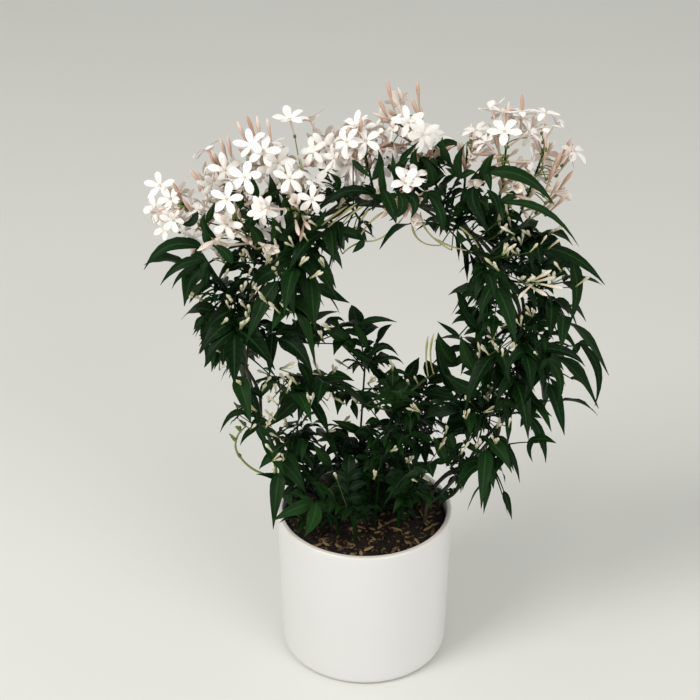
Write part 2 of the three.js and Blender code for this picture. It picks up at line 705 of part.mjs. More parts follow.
// The corolla: five lobes bent back a little round a throat, on a three-sided tube, as one closed body.
function flowerSolid({ from, direction, length, spin }) {
  const out = crossways(direction, spin);
  const end = plus(from, direction, length);
  const vertices = [];
  const faces = [];
  const ring = (n, at) => Array.from({ length: n }, (_, k) => vertices.push(at(k)) - 1);
  const third = (k) => (2 * Math.PI * k) / 3;
  const foot = ring(3, (k) => from.clone().add(out(third(k), FLOWER.neck)));
  const throat = ring(3, (k) => plus(end, direction, -BLADE / 2).add(out(third(k), FLOWER.throat)));
  const [centre] = ring(1, () => plus(end, direction, BLADE / 2));
  const rim = (height) =>
    ring(10, (k) => {
      const { radius, raised } = k % 2 ? FLOWER.notches : FLOWER.lobes;
      return plus(end, direction, height + raised).add(out((Math.PI * k) / 5, radius));
    });
  const [rimUnder, rimOver] = [rim(-BLADE / 2), rim(BLADE / 2)];
  faces.push([foot[0], foot[2], foot[1]]);
  for (let k = 0; k < 3; k++) {
    const next = (k + 1) % 3;
    faces.push([foot[k], foot[next], throat[next]], [foot[k], throat[next], throat[k]]);
  }
  // Under the lobes each rim edge joins the throat corner that lies nearest round the flower.
  const corner = (k) => Math.round((k * 3) / 10) % 3;
  for (let k = 0; k < 10; k++) {
    const next = (k + 1) % 10;
    const [c, d] = [corner(k), corner(k + 1)];
    faces.push([centre, rimOver[k], rimOver[next]], [throat[c], rimUnder[next], rimUnder[k]]);
    if (c !== d) faces.push([throat[c], throat[d], rimUnder[next]]);
    faces.push([rimOver[k], rimUnder[k], rimUnder[next]], [rimOver[k], rimUnder[next], rimOver[next]]);
  }
  return solidOf(meshGeometry(vertices, faces));
}

// Points over a flower or bud, for the room it takes. Its first few millimetres may lie by its own stalk.
const BLOOM_ROOT = 4.5;
function bloomPoints({ isFlower, from, direction, length, spin }, piece) {
  const end = plus(from, direction, length);
  const axis = alongLine(from, end, isFlower ? 1 : 1.5);
  const points = axis.filter(({ p }) => p.distanceTo(from) > BLOOM_ROOT);
  const out = crossways(direction, spin);
  const [lobes, notches] = [FLOWER.lobes.radius, FLOWER.notches.radius];
  for (const share of isFlower ? [0.4, 0.7, 1] : []) {
    const n = Math.ceil(30 * share);
    for (let k = 0; k < n; k++) {
      const a = (2 * Math.PI * k) / n;
      const star = mix(notches, lobes, Math.cos(2.5 * a) ** 2);
      if (share * lobes > star + 1) continue;
      points.push({ p: plus(end, direction, BLADE).add(out(a, share * lobes)), r: BLADE });
    }
  }
  return points.map((q) => ({ ...q, piece }));
}

function budSolid({ from, direction, length }) {
  const belly = plus(from, direction, length * BUD.belly);
  return stalk([from, belly, plus(from, direction, length)], [BUD.neck, BUD.radius, 0], 3);
}

function spraySolid({ line, blooms }) {
  const axis = evenly(HEAD.radii.length - 1, line);
  const bloomSolids = blooms.map((bloom) => (bloom.isFlower ? flowerSolid(bloom) : budSolid(bloom)));
  return fuse([stalk(axis, HEAD.radii, 3, line.way), ...bloomSolids]);
}

// ---------------------------------------------------------------- pot, soil, hoop and stems

function potGeometry() {
  const { rimRadius, footRadius, height, wall, floor, footEdge, rimEdge } = POT;
  const roundFoot = evenly(3, (t) => {
    const a = (Math.PI / 2) * t;
    return [footRadius - footEdge + footEdge * Math.sin(a), footEdge - footEdge * Math.cos(a)];
  });
  const profile = [
    [0, 0],
    ...roundFoot,
    [rimRadius, height - rimEdge],
    [rimRadius - rimEdge, height],
    [rimRadius - wall + rimEdge, height],
    [rimRadius - wall, height - rimEdge],
    [footRadius - wall, floor],
    [0, floor],
  ];
  const outline = profile.map(([r, z]) => new THREE.Vector2(r, z));
  return new THREE.LatheGeometry(outline, POT.sides).rotateX(Math.PI / 2);
}

function soilHeight(x, y) {
  const waves = Math.sin(x / 7.3 + 1.1) * Math.cos(y / 6.1) + 0.6 * Math.sin(x / 3.9 - y / 4.7 + 2);
  return SOIL.level + SOIL.relief * waves * 0.6;
}

// The soil: a lumpy top over a body that tapers with the pot, with a plain hole for all that stands in it.
function soilSolid(holes) {
  const under = POT.floor + CLEAR;
  const shoulder = SOIL.level - SOIL.shoulder;
  const radius = (z) => mix(POT.footRadius, POT.rimRadius, z / POT.height) - POT.wall - 2 * CLEAR;
  const [rim, foot] = [radius(shoulder), radius(under)];
  const vertices = [V(0, 0, soilHeight(0, 0))];
  const faces = [];
  const n = SOIL.sides;
  const ring = (r, height) => {
    for (let k = 0; k < n; k++) {
      const a = (2 * Math.PI * k) / n;
      const [x, y] = [r * Math.cos(a), r * Math.sin(a)];
      vertices.push(V(x, y, height(x, y)));
    }
  };
  SOIL.rings.forEach((r) => ring(r, soilHeight));
  ring(rim, () => shoulder);
  ring(foot, () => under);
  const rings = SOIL.rings.length + 2;
  const bottom = vertices.push(V(0, 0, under)) - 1;
  for (let k = 0; k < n; k++) {
    const next = (k + 1) % n;
    faces.push([0, 1 + k, 1 + next]);
    for (let i = 0; i + 1 < rings; i++) {
      const [a, b] = [1 + i * n + k, 1 + i * n + next];
      faces.push([a, a + n, b + n], [a, b + n, b]);
    }
    faces.push([1 + (rings - 1) * n + k, bottom, 1 + (rings - 1) * n + next]);
  }
  const cuts = holes.map(({ root, radius: stem }) => {
    const ends = [root.z - 1, SOIL.level + 12].map((z) => V(root.x, root.y, z));
    return stalk(ends, [stem + HOLE_GAP, stem + HOLE_GAP], 6);
  });
  return solidOf(meshGeometry(vertices, faces)).subtract(wasm.Manifold.union(cuts));
}

// Where the hoop's two legs end in the soil.
const HOOP_FEET = [HOOP_ROUTE[0], HOOP_ROUTE.at(-1)].map(([x]) => V(x, 0, SOIL.level - HOOP.inSoil));

function hoopSolid() {
  const route = evenly(HOOP.steps, (share) => onHoop(share).point);
  const wire = [HOOP_FEET[0], ...route, HOOP_FEET[1]];
  return stalk(wire, Array(wire.length).fill(HOOP.wireRadius), HOOP.sides);
}

// A winding stem, from its root in the soil to its tip.
function stemAxis(stem) {
  const bends = BENDS.filter((bend) => bend.stem === stem);
  const root = bends[0].point.clone().setZ(SOIL.level - WINDING.inSoil);
  const radii = [stem.radius, ...bends.map((bend) => bend.radius)];
  return { axis: [root, ...bends.map((bend) => bend.point)], radii };
}

// ---------------------------------------------------------------- the whole plant

const COLOURS = {
  pot: { color: 0xe9e7e0, roughness: 0.3 },
  soil: { color: 0x2b2119, roughness: 1 },
  wire: { color: 0x2c3a2c, roughness: 0.5 },
  stem: { color: 0x5b5a2c, roughness: 0.75 },
  leaf: { color: 0x1f4a27, roughness: 0.5 },
  flower: { color: 0xf4f0ee, roughness: 0.6 },
};
const materials = {};
for (const [name, look] of Object.entries(COLOURS)) {
  materials[name] = new THREE.MeshStandardMaterial({ ...look, metalness: 0, name });
}

const plant = new THREE.Group();
function addNode(name, geometry, material) {
  const mesh = new THREE.Mesh(geometry, materials[material]);
  mesh.name = name;
  plant.add(mesh);
}

addNode("pot", potGeometry(), "pot");
addNode("hoop", geometryOf(hoopSolid()), "wire");
occupy(
  evenly(480, (share) => ({ p: onHoop(share).point, r: HOOP.wireRadius })),
  "hoop",
);

// What stands in the soil: where it ends, and how thick it is.
const holes = HOOP_FEET.map((root) => ({ root, radius: HOOP.wireRadius }));
for (const stem of STEMS) {
  const { axis, radii } = stemAxis(stem);
  addNode(stem.name, geometryOf(stalk(axis, radii, WINDING.sides)), "stem");
  occupy(
    alongAxis(axis, (i) => radii[i]),
    stem.name,
  );
  holes.push({ root: axis[0], radius: stem.radius });
}

const number = (i) => String(i + 1).padStart(2, "0");
SPRAYS.forEach((spray, i) => {
  const name = `spray_${number(i)}`;
  addNode(name, geometryOf(spraySolid(growSpray(spray, name, SEEDS.sprays + i))), "flower");
});

// Every shoot's stalk finds its way before any leaf grows.
const named = (list, name, seed) =>
  list.map((shoot, i) => ({ shoot, name: `${name}_${number(i)}`, seed: seed + i }));
const shoots = [
  ...named(SOIL_SHOOTS, "young_shoot", SEEDS.soilShoots),
  ...named(SHOOTS, "leafy_shoot", SEEDS.shoots),
];
for (const one of shoots) one.line = shootLine(one.shoot, one.name);
for (const one of shoots) addNode(one.name, geometryOf(shootSolid(growShoot(one))), "leaf");
for (const { root } of SOIL_SHOOTS) {
  holes.push({ root: V(...root, SOIL.level - SHOOT.inSoil), radius: SHOOT.baseRadius });
}
addNode("soil", geometryOf(soilSolid(holes)), "soil");

export default plant;
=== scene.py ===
# %% [markdown]
# # A potted pink jasmine on a hoop
#
# Pink jasmine is a climber. Growers wind its stems round a hoop of wire, so that it flowers as a wreath
# over its pot. This lesson dresses a plain solid model of the plant: every solid keeps its place, and a
# finer piece takes its look. Sizes are in millimetres until a mesh is made, because a leaf is easier to
# think of as 60 mm than as 0.06 m.

# %% Load the solid model and note its box
import math
from types import SimpleNamespace

import bpy
import numpy as np
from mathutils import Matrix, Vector


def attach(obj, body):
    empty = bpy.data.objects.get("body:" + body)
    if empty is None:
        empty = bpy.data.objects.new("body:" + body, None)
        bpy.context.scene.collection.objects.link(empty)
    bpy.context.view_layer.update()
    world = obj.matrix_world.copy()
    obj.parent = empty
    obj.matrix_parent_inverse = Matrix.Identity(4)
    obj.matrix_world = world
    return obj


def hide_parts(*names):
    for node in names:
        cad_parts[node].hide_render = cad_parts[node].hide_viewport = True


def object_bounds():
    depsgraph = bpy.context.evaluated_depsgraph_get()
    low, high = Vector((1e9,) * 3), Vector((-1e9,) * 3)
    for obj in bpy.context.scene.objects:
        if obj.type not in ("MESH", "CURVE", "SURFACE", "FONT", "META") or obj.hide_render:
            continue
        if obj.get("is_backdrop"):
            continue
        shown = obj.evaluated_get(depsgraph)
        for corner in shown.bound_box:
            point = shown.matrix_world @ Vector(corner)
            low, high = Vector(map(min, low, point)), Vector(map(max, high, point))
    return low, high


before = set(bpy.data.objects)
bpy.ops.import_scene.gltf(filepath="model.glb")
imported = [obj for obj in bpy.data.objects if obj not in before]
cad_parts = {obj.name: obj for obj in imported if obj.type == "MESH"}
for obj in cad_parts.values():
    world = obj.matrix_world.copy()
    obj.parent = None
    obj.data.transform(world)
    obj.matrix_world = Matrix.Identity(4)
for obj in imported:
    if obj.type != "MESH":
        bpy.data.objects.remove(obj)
CAD_BOX = [list(corner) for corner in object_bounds()]
MM = 0.001
print("solids:", len(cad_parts), "box:", CAD_BOX)

# %% [markdown]
# ## Camera
#
# The plant is looked at from its best side and from about 29 degrees above, as it would be on a table
# when one stands in front of it. A long lens from a metre away keeps the pot's sides nearly parallel.

# %% Place the camera
CAMERA_PLACE = (-0.0117, -1.0421, 0.8489)
LOOKING_DOWN = 29
FOCAL_LENGTH = 80.881057  # millimetres, with Blender's usual sensor 36 mm wide

camera_data = bpy.data.cameras.new("camera")
camera_data.lens = FOCAL_LENGTH
camera = bpy.data.objects.new("camera", camera_data)
camera.location = CAMERA_PLACE
camera.rotation_euler = (math.radians(90 - LOOKING_DOWN), 0, 0)
bpy.context.scene.collection.objects.link(camera)
bpy.context.scene.camera = camera
bpy.context.scene.view_settings.view_transform = "Standard"
print("lens:", round(camera_data.lens, 1), "mm")

# %% [markdown]
# ## Colours and nodes
#
# Colours are written as the hex values that a designer would pick on a screen. Blender works in linear
# light, so one function converts them. One more adds a node to a material's tree, sets or links its
# inputs and returns one of its outputs, which keeps each material short enough to read as a recipe.


# %% Turn a screen colour to linear light, and add nodes
def linear(hex_colour):
    channels = [int(hex_colour[i : i + 2], 16) / 255 for i in (1, 3, 5)]
    return [c / 12.92 if c <= 0.04045 else ((c + 0.055) / 1.055) ** 2.4 for c in channels] + [1]


def fill(tree, node, inputs):
    """Set a node's inputs. Another node's output is linked, and text is a hex colour."""
    for name, value in inputs.items():
        if isinstance(value, bpy.types.NodeSocket):
            tree.links.new(value, node.inputs[name])
        else:
            node.inputs[name].default_value = linear(value) if isinstance(value, str) else value


def add(tree, kind, inputs=None, out=0, **settings):
    """Add a node with its settings and its inputs. What it returns is one of the node's outputs."""
    node = tree.nodes.new("ShaderNode" + kind)
    for name, value in settings.items():
        setattr(node, name, value)
    fill(tree, node, inputs or {})
    return node.outputs[out]


def new_material(name, recipe):
    """A material. Its recipe adds nodes to the tree and returns what goes into the surface's shader."""
    material = bpy.data.materials.new(name)
    material.use_nodes = True
    fill(material.node_tree, material.node_tree.nodes["Principled BSDF"], recipe(material.node_tree))
    print("made", material.name)
    return material


# A mix node's inputs: how much of the second colour, the first colour and the second.
SHARE, FIRST, SECOND = 0, 6, 7
COLOURS = {"data_type": "RGBA", "out": 2}  # what makes it mix colours, and where they come out
print("white clay is", [round(c, 3) for c in linear("#E9E7E1")])

# %% [markdown]
# ## Floor and light
#
# A studio table and backdrop could be a curved sheet of paper. Seen from above, only the floor shows, so
# one wide plane does. The main light is a large soft box high on the left and a little in front, which
# throws a soft shadow to the right of the pot. A weak light from the right and a pale sky fill the rest.


# %% Lay the floor and hang the lights
def studio_paper(tree):
    place = add(tree, "TexCoord", out="Object")
    # Clouds in the pulp, about 30 cm wide.
    pulp = add(tree, "TexNoise", {"Vector": place, "Scale": 3, "Detail": 2})
    colour = add(tree, "Mix", {SHARE: pulp, FIRST: "#D9D9D3", SECOND: "#DDDDD8"}, **COLOURS)
    return {"Base Color": colour, "Roughness": 0.9, "Specular IOR Level": 0.2}


def soft_light(name, place, aim, size, power, colour):
    data = bpy.data.lights.new(name, "AREA")
    data.shape = "DISK"
    data.size = size
    data.energy = power
    data.color = colour
    light = bpy.data.objects.new(name, data)
    light.location = place
    light.rotation_euler = (Vector(aim) - Vector(place)).to_track_quat("-Z", "Y").to_euler()
    bpy.context.scene.collection.objects.link(light)


floor_mesh = bpy.data.meshes.new("floor")
corners = [(-5, -4, 0), (5, -4, 0), (5, 6, 0), (-5, 6, 0)]
floor_mesh.from_pydata(corners, [], [(0, 1, 2, 3)])
floor = bpy.data.objects.new("floor", floor_mesh)
floor.data.materials.append(new_material("matt studio paper", studio_paper))
bpy.context.scene.collection.objects.link(floor)
floor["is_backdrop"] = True

soft_light("main_box", (-1.3, -1.0, 1.9), (0, 0, 0.2), 1.0, 31, (1, 0.99, 0.97))
soft_light("front_box", (1.1, -1.5, 1.2), (0, 0, 0.25), 1.4, 15, (1, 0.995, 0.985))
world = bpy.data.worlds.new("pale room")
world.use_nodes = True
fill(world.node_tree, world.node_tree.nodes["Background"], {"Color": "#E9E9E7", "Strength": 0.74})
bpy.context.scene.world = world
print("floor and", len(bpy.data.lights), "lights")

# %% [markdown]
# ## Glazed stoneware
#
# The pot is thrown or slip-cast stoneware under a white glaze. The glaze is glass, so its index is about
# 1.5 and it gives soft clear highlights, but it is not quite even: it pools a little thicker and warmer
# in places a few centimetres wide, and it breaks to the clay's cream where it thins over the rim.


# %% Mix the glaze
def white_glaze(tree):
    place = add(tree, "TexCoord", out="Object")
    # Pools about 25 mm wide, and pinholes and specks about 1.5 mm apart.
    pools = add(tree, "TexNoise", {"Vector": place, "Scale": 40, "Detail": 3})
    specks = add(tree, "TexNoise", {"Vector": place, "Scale": 650, "Detail": 2})
    colour = add(tree, "Mix", {SHARE: pools, FIRST: "#DBDAD8", SECOND: "#DEDDDB"}, **COLOURS)
    # The last 1.8 mm below the rim's top shows some clay.
    height = add(tree, "SeparateXYZ", {"Vector": place}, out="Z")
    thin = add(tree, "MapRange", {"Value": height, "From Min": 0.1262, "From Max": 0.128, "To Max": 0.35})
    colour = add(tree, "Mix", {SHARE: thin, FIRST: colour, SECOND: "#D9CDB6"}, **COLOURS)
    fleck = add(tree, "MapRange", {"Value": specks, "From Min": 0.74, "From Max": 0.82, "To Max": 0.12})
    colour = add(tree, "Mix", {SHARE: fleck, FIRST: colour, SECOND: "#B9B2A2"}, **COLOURS)
    return {
        "Base Color": colour,
        "Roughness": add(tree, "MapRange", {"Value": pools, "To Min": 0.26, "To Max": 0.34}),
        "IOR": 1.5,
        "Coat Weight": 0.25,
        "Coat Roughness": 0.12,
        "Normal": add(tree, "Bump", {"Height": pools, "Strength": 0.08, "Distance": 0.0008}),
    }


GLAZE = new_material("white glazed stoneware", white_glaze)

# %% [markdown]
# ## Peat and bark chips
#
# Potting soil is moist peat: very dark, brown rather than black, and rough at every size from crumbs of
# 4 mm to dust. Chips of bark and fibre lie in it, dry and tan. Both are fully matt.


# %% Mix the peat and the chips
def moist_peat(tree):
    place = add(tree, "TexCoord", out="Object")
    # Crumbs 4 mm across, and dust of about 1 mm.
    crumbs = add(tree, "TexVoronoi", {"Vector": place, "Scale": 250}, out="Distance")
    dust = add(tree, "TexNoise", {"Vector": place, "Scale": 900, "Detail": 4})
    colour = add(tree, "Mix", {SHARE: crumbs, FIRST: "#241B14", SECOND: "#0B0806"}, **COLOURS)
    grain = add(tree, "MapRange", {"Value": dust, "From Min": 0.55, "From Max": 0.75, "To Max": 0.7})
    colour = add(tree, "Mix", {SHARE: grain, FIRST: colour, SECOND: "#4A3928"}, **COLOURS)
    coarse = add(tree, "Bump", {"Height": crumbs, "Strength": 0.9, "Distance": 0.002})
    fine = add(tree, "Bump", {"Height": dust, "Strength": 0.6, "Distance": 0.0008, "Normal": coarse})
    return {"Base Color": colour, "Roughness": 0.95, "Specular IOR Level": 0.25, "Normal": fine}


def dry_bark(tree):
    place = add(tree, "TexCoord", out="Object")
    tint = add(tree, "Attribute", attribute_name="tint", out="Fac")
    # Fibres about 0.7 mm wide, pulled out along one way.
    pulled = add(tree, "Mapping", {"Vector": place, "Scale": (1400, 1400, 260)})
    fibres = add(tree, "TexNoise", {"Vector": pulled, "Scale": 1, "Detail": 2})
    colour = add(tree, "Mix", {SHARE: tint, FIRST: "#2E2116", SECOND: "#A48A5C"}, **COLOURS)
    colour = add(tree, "Mix", {SHARE: fibres, FIRST: colour, SECOND: "#5E4A33"}, **COLOURS)
    bump = add(tree, "Bump", {"Height": fibres, "Strength": 0.7, "Distance": 0.0005})
    return {"Base Color": colour, "Roughness": 0.9, "Specular IOR Level": 0.25, "Normal": bump}


PEAT = new_material("moist peat", moist_peat)
CHIPS = new_material("dry bark chips", dry_bark)

# %% [markdown]
# ## Painted wire and green bark
#
# The hoop is steel wire with a baked dark green paint, which is smooth and slightly glossy. The stems
# that wind round it are young wood: brown with green showing through, and wrinkled along their length.


# %% Mix the paint and the bark
def painted_wire(tree):
    place = add(tree, "TexCoord", out="Object")
    # Dust in grains about 3 mm apart.
    dust = add(tree, "TexNoise", {"Vector": place, "Scale": 300, "Detail": 3})
    colour = add(tree, "Mix", {SHARE: dust, FIRST: "#2A3A28", SECOND: "#3B4A36"}, **COLOURS)
    gloss = add(tree, "MapRange", {"Value": dust, "To Min": 0.35, "To Max": 0.6})
    return {"Base Color": colour, "Roughness": gloss, "IOR": 1.5}


def green_bark(tree):
    place = add(tree, "TexCoord", out="Object")
    blade = add(tree, "UVMap", uv_map="blade")
    # Wrinkles about 1 mm apart round the stem and 10 mm long, and patches about 17 mm wide.
    pulled = add(tree, "Mapping", {"Vector": blade, "Scale": (8, 90, 1)})
    wrinkles = add(tree, "TexNoise", {"Vector": pulled, "Scale": 1, "Detail": 3})
    patches = add(tree, "TexNoise", {"Vector": place, "Scale": 60, "Detail": 3})
    colour = add(tree, "Mix", {SHARE: patches, FIRST: "#33291A", SECOND: "#434224"}, **COLOURS)
    colour = add(tree, "Mix", {SHARE: wrinkles, FIRST: "#241C12", SECOND: colour}, **COLOURS)
    bump = add(tree, "Bump", {"Height": wrinkles, "Strength": 0.6, "Distance": 0.0004})
    return {"Base Color": colour, "Roughness": 0.75, "IOR": 1.45, "Normal": bump}


PAINT = new_material("baked green paint on wire", painted_wire)
BARK = new_material("young bark", green_bark)

# %% [markdown]
# ## Waxy leaves
#
# A jasmine leaf has a thin skin of wax, so it is dark and shines softly. Three maps carry its look. The
# blade map says how far across and along its leaflet a point lies, for the midrib and the side veins.
# The tint says how old each leaf is, from yellow-green to nearly black-green. The underside is paler and
# duller, because there the wax is thinner.

# %% Mix the leaf
MIDRIB_EDGE = 0.16  # the midrib's half width, where the leaflet's is 1
VEINS = 50.0  # 8 waves of veins along a leaflet
RIB_SHOWS = 0.25
UNDER_SHOWS = 0.28


def waxy_leaf(tree):
    place = add(tree, "TexCoord", out="Object")
    blade = add(tree, "UVMap", uv_map="blade")
    across, along = (add(tree, "SeparateXYZ", {"Vector": blade}, out=way) for way in "XY")
    tint, under = (add(tree, "Attribute", attribute_name=name, out="Fac") for name in ("tint", "under"))
    # From 0 on the midrib to 1 at the edge.
    centred = add(tree, "Math", {0: across, 1: 0.5}, operation="SUBTRACT")
    halved = add(tree, "Math", {0: centred}, operation="ABSOLUTE")
    outwards = add(tree, "Math", {0: halved, 1: 2.0}, operation="MULTIPLY")
    near = {"Value": outwards, "From Min": 0.04, "From Max": MIDRIB_EDGE, "To Min": 1, "To Max": 0}
    midrib = add(tree, "MapRange", near)
    # Side veins about 4 mm apart on a leaflet 32 mm long, slanting to its tip.
    slanted = add(tree, "Math", {0: outwards, 1: -0.16, 2: along}, operation="MULTIPLY_ADD")
    phase = add(tree, "Math", {0: slanted, 1: VEINS}, operation="MULTIPLY")
    wave = add(tree, "Math", {0: phase}, operation="SINE")
    veins = add(tree, "MapRange", {"Value": wave, "From Min": 0.7, "From Max": 1, "To Max": 0.22})
    # Clouds about 11 mm wide, as the green is never quite even.
    clouds = add(tree, "TexNoise", {"Vector": place, "Scale": 90, "Detail": 3})
    green = add(tree, "Mix", {SHARE: tint, FIRST: "#041505", SECOND: "#224819"}, **COLOURS)
    shade = add(tree, "MapRange", {"Value": clouds, "From Min": 0.35, "From Max": 0.75, "To Max": 0.6})
    green = add(tree, "Mix", {SHARE: shade, FIRST: green, SECOND: "#0A2308"}, **COLOURS)
    green = add(tree, "Mix", {SHARE: veins, FIRST: green, SECOND: "#1B401A"}, **COLOURS)
    ribbed = add(tree, "Math", {0: midrib, 1: RIB_SHOWS}, operation="MULTIPLY")
    green = add(tree, "Mix", {SHARE: ribbed, FIRST: green, SECOND: "#3F6436"}, **COLOURS)
    youth = add(tree, "MapRange", {"Value": tint, "From Min": 0.55, "From Max": 1, "To Max": 0.9})
    green = add(tree, "Mix", {SHARE: youth, FIRST: green, SECOND: "#9AA661"}, **COLOURS)
    paler = add(tree, "Math", {0: under, 1: UNDER_SHOWS}, operation="MULTIPLY")
    ridges = add(tree, "Math", {0: midrib, 1: veins}, operation="MAXIMUM")
    waves = add(tree, "Bump", {"Height": clouds, "Strength": 0.3, "Distance": 0.001})
    return {
        "Base Color": add(tree, "Mix", {SHARE: paler, FIRST: green, SECOND: "#27451F"}, **COLOURS),
        "Roughness": add(tree, "MapRange", {"Value": clouds, "To Min": 0.38, "To Max": 0.58}),
        "IOR": 1.45,
        "Specular IOR Level": 0.1,
        "Normal": add(tree, "Bump", {"Height": ridges, "Strength": 0.5, "Distance": 0.0005, "Normal": waves}),
    }


LEAF_GREEN = new_material("waxy jasmine leaf", waxy_leaf)

# %% [markdown]
# ## Petals, tubes and buds
#
# A petal is a few cells thick, so light goes into it and comes out again: that is why white petals look
# soft. The flowers open white, from buds and tubes that are flushed pink where the sun meets them. The
# blush map says how pink each point is, and the tint how yellow-green, which a young bud is at its foot.


# %% Mix the petal
def soft_petal(tree):
    place = add(tree, "TexCoord", out="Object")
    blade = add(tree, "UVMap", uv_map="blade")
    names = ("blush", "tint", "under")
    blush, tint, under = (add(tree, "Attribute", attribute_name=name, out="Fac") for name in names)
    clouds = add(tree, "TexNoise", {"Vector": place, "Scale": 220, "Detail": 3})
    # Veins run along the petal, about 0.9 mm apart.
    pulled = add(tree, "Mapping", {"Vector": blade, "Scale": (9, 0.7, 1)})
    veins = add(tree, "TexNoise", {"Vector": pulled, "Scale": 1, "Detail": 1})
    white = add(tree, "Mix", {SHARE: veins, FIRST: "#FCF8F2", SECOND: "#F3ECE3"}, **COLOURS)
    pink = add(tree, "Mix", {SHARE: clouds, FIRST: "#CFA08A", SECOND: "#AE7A68"}, **COLOURS)
    back = add(tree, "Math", {0: under, 1: 0.24}, operation="MULTIPLY")
    flushed = add(tree, "Math", {0: blush, 1: back}, operation="MAXIMUM")
    colour = add(tree, "Mix", {SHARE: flushed, FIRST: white, SECOND: pink}, **COLOURS)
    return {
        "Base Color": add(tree, "Mix", {SHARE: tint, FIRST: colour, SECOND: "#A0A15A"}, **COLOURS),
        "Roughness": 0.55,
        "IOR": 1.4,
        "Subsurface Weight": 0.3,
        "Subsurface Radius": (1.0, 0.8, 0.7),
        "Subsurface Scale": 0.0015,
        "Normal": add(tree, "Bump", {"Height": veins, "Strength": 0.3, "Distance": 0.0004}),
    }


PETAL = new_material("jasmine petal", soft_petal)

# %% [markdown]
# ## One way to make every closed skin
#
# Pot, wire, stem, leaflet, petal and bud are all one idea: a row of rings, each joined to the next and
# closed at both ends. For a leaflet the ring is flat, with a top and an underside that share the edge.
# A piece gathers many such skins, with their maps, and becomes one mesh.


# %% Gather rings into a piece
SHARP = math.radians(62)  # faces that meet at more than this have a sharp edge


class Skins:
    """The rings of one piece, in millimetres, and the maps that its material reads."""

    def __init__(self):
        self.points, self.quads, self.caps = [], [], []
        self.blade, self.tint, self.blush, self.under = [], [], [], []
        self.count = 0

    def add(self, rings, across=None, along=None, tint=0.0, blush=0.0, under=0.0):
        """rings has a row for each ring. across and along are the blade map's values, and under marks the
        ring's sides that are an underside."""
        rings = np.asarray(rings, float)
        n, k = rings.shape[:2]
        rows = np.arange(n - 1)[:, None] * k
        i, j = rows + np.arange(k), rows + (np.arange(k) + 1) % k
        quads = np.stack([i, j, j + k, i + k], axis=-1).reshape(-1, 4)
        flat = rings.reshape(-1, 3)
        a, b, c, d = (flat[quads[:, m]] for m in range(4))
        outwards = np.einsum("ij,ij->i", (a + b + c + d) / 4 - flat.mean(axis=0), np.cross(c - a, d - b))
        caps = [list(range(k))[::-1], list(range((n - 1) * k, n * k))]
        if outwards.sum() < 0:
            quads, caps = quads[:, ::-1], [cap[::-1] for cap in caps]
        self.points.append(flat)
        self.quads.append(quads + self.count)
        self.caps += [[v + self.count for v in cap] for cap in caps]
        across = np.linspace(0, 1, k) if across is None else across
        along = np.linspace(0, 1, n) if along is None else along
        for values, kept in ((along, self.blade), (tint, self.tint), (blush, self.blush)):
            kept.append(np.broadcast_to(np.reshape(values, (-1, 1)), (n, k)).ravel())
        self.blade[-1] = np.stack([np.broadcast_to(across, (n, k)).ravel(), self.blade[-1]], axis=-1)
        self.under.append(np.broadcast_to(np.asarray(under, float), (n - 1, k)).ravel())
        self.count += n * k

    def piece(self, name, material, slot, nodes=()):
        """The mesh with its maps. It takes the place of the solid model's nodes that are given."""
        mesh = bpy.data.meshes.new(name)
        faces = np.concatenate(self.quads).tolist() + self.caps
        mesh.from_pydata(np.concatenate(self.points) * MM, [], faces)
        under = self.under + [np.zeros(len(self.caps))]
        maps = (("tint", "POINT", self.tint), ("blush", "POINT", self.blush), ("under", "FACE", under))
        for key, domain, values in maps:
            values = np.concatenate(values).astype(np.float32)
            mesh.attributes.new(key, "FLOAT", domain).data.foreach_set("value", values)
        corner = np.empty(len(mesh.loops), np.int32)
        mesh.loops.foreach_get("vertex_index", corner)
        blade = np.concatenate(self.blade)[corner].astype(np.float32)
        mesh.uv_layers.new(name="blade").data.foreach_set("uv", blade.ravel())
        mesh.shade_smooth()
        mesh.set_sharp_from_angle(angle=SHARP)
        mesh.materials.append(material)
        made = bpy.data.objects.new(name, mesh)
        bpy.context.scene.collection.objects.link(made)
        if nodes:
            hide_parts(*nodes)
        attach(made, "root")
        return made


PLAIN = {"across": 0.3, "along": 0}  # a place on the blade map that is clear of midrib and veins
print("skins are ready")

# %% [markdown]
# ## Directions
#
# Plants are built of stalks, and each stalk needs two ways square to it, for its width and its thickness.
# Small differences are drawn from seeded streams, so the same plant grows each time.

# %% Vectors, mixes and seeded draws
UP = np.array([0.0, 0.0, 1.0])
ALL_BITS = 0xFFFFFFFF
STRIDE = 0x6D2B79F5  # an odd step, so that the state passes through every number


def vector(*numbers):
    return np.array(numbers, float)


def unit(v):
    return v / (np.linalg.norm(v) or 1)


def clipped(value, most=1):
    return min(most, max(0, value))


def mix(a, b, share):
    return (1 - share) * a + share * b


def between(pair, share):
    return mix(pair[0], pair[1], share)


def looked_up(rows, value, column=1):
    """What a table's column says where its first column would be the value."""
    return np.interp(value, rows[:, 0], rows[:, column])


def points_on(line, count, first=0, last=1):
    return np.array([line(t) for t in np.linspace(first, last, count)])


def nearest(points, place):
    return points[np.argmin(np.linalg.norm(points - place, axis=1))]


def ways_across(direction):
    """Two ways square to a direction. The first is level."""
    level = np.cross(direction, UP)
    level = unit(level) if np.linalg.norm(level) > 1e-3 else vector(1, 0, 0)
    return level, unit(np.cross(level, direction))


def draws(seed):
    """A seeded stream of numbers from 0 to 1."""
    state = seed

    def draw():
        nonlocal state
        state = (state + STRIDE) & ALL_BITS
        t = state
        t = ((t ^ (t >> 15)) * (t | 1)) & ALL_BITS
        t ^= (t + (t ^ (t >> 7)) * (t | 61)) & ALL_BITS
        return (t ^ (t >> 14)) / 2**32

    return draw


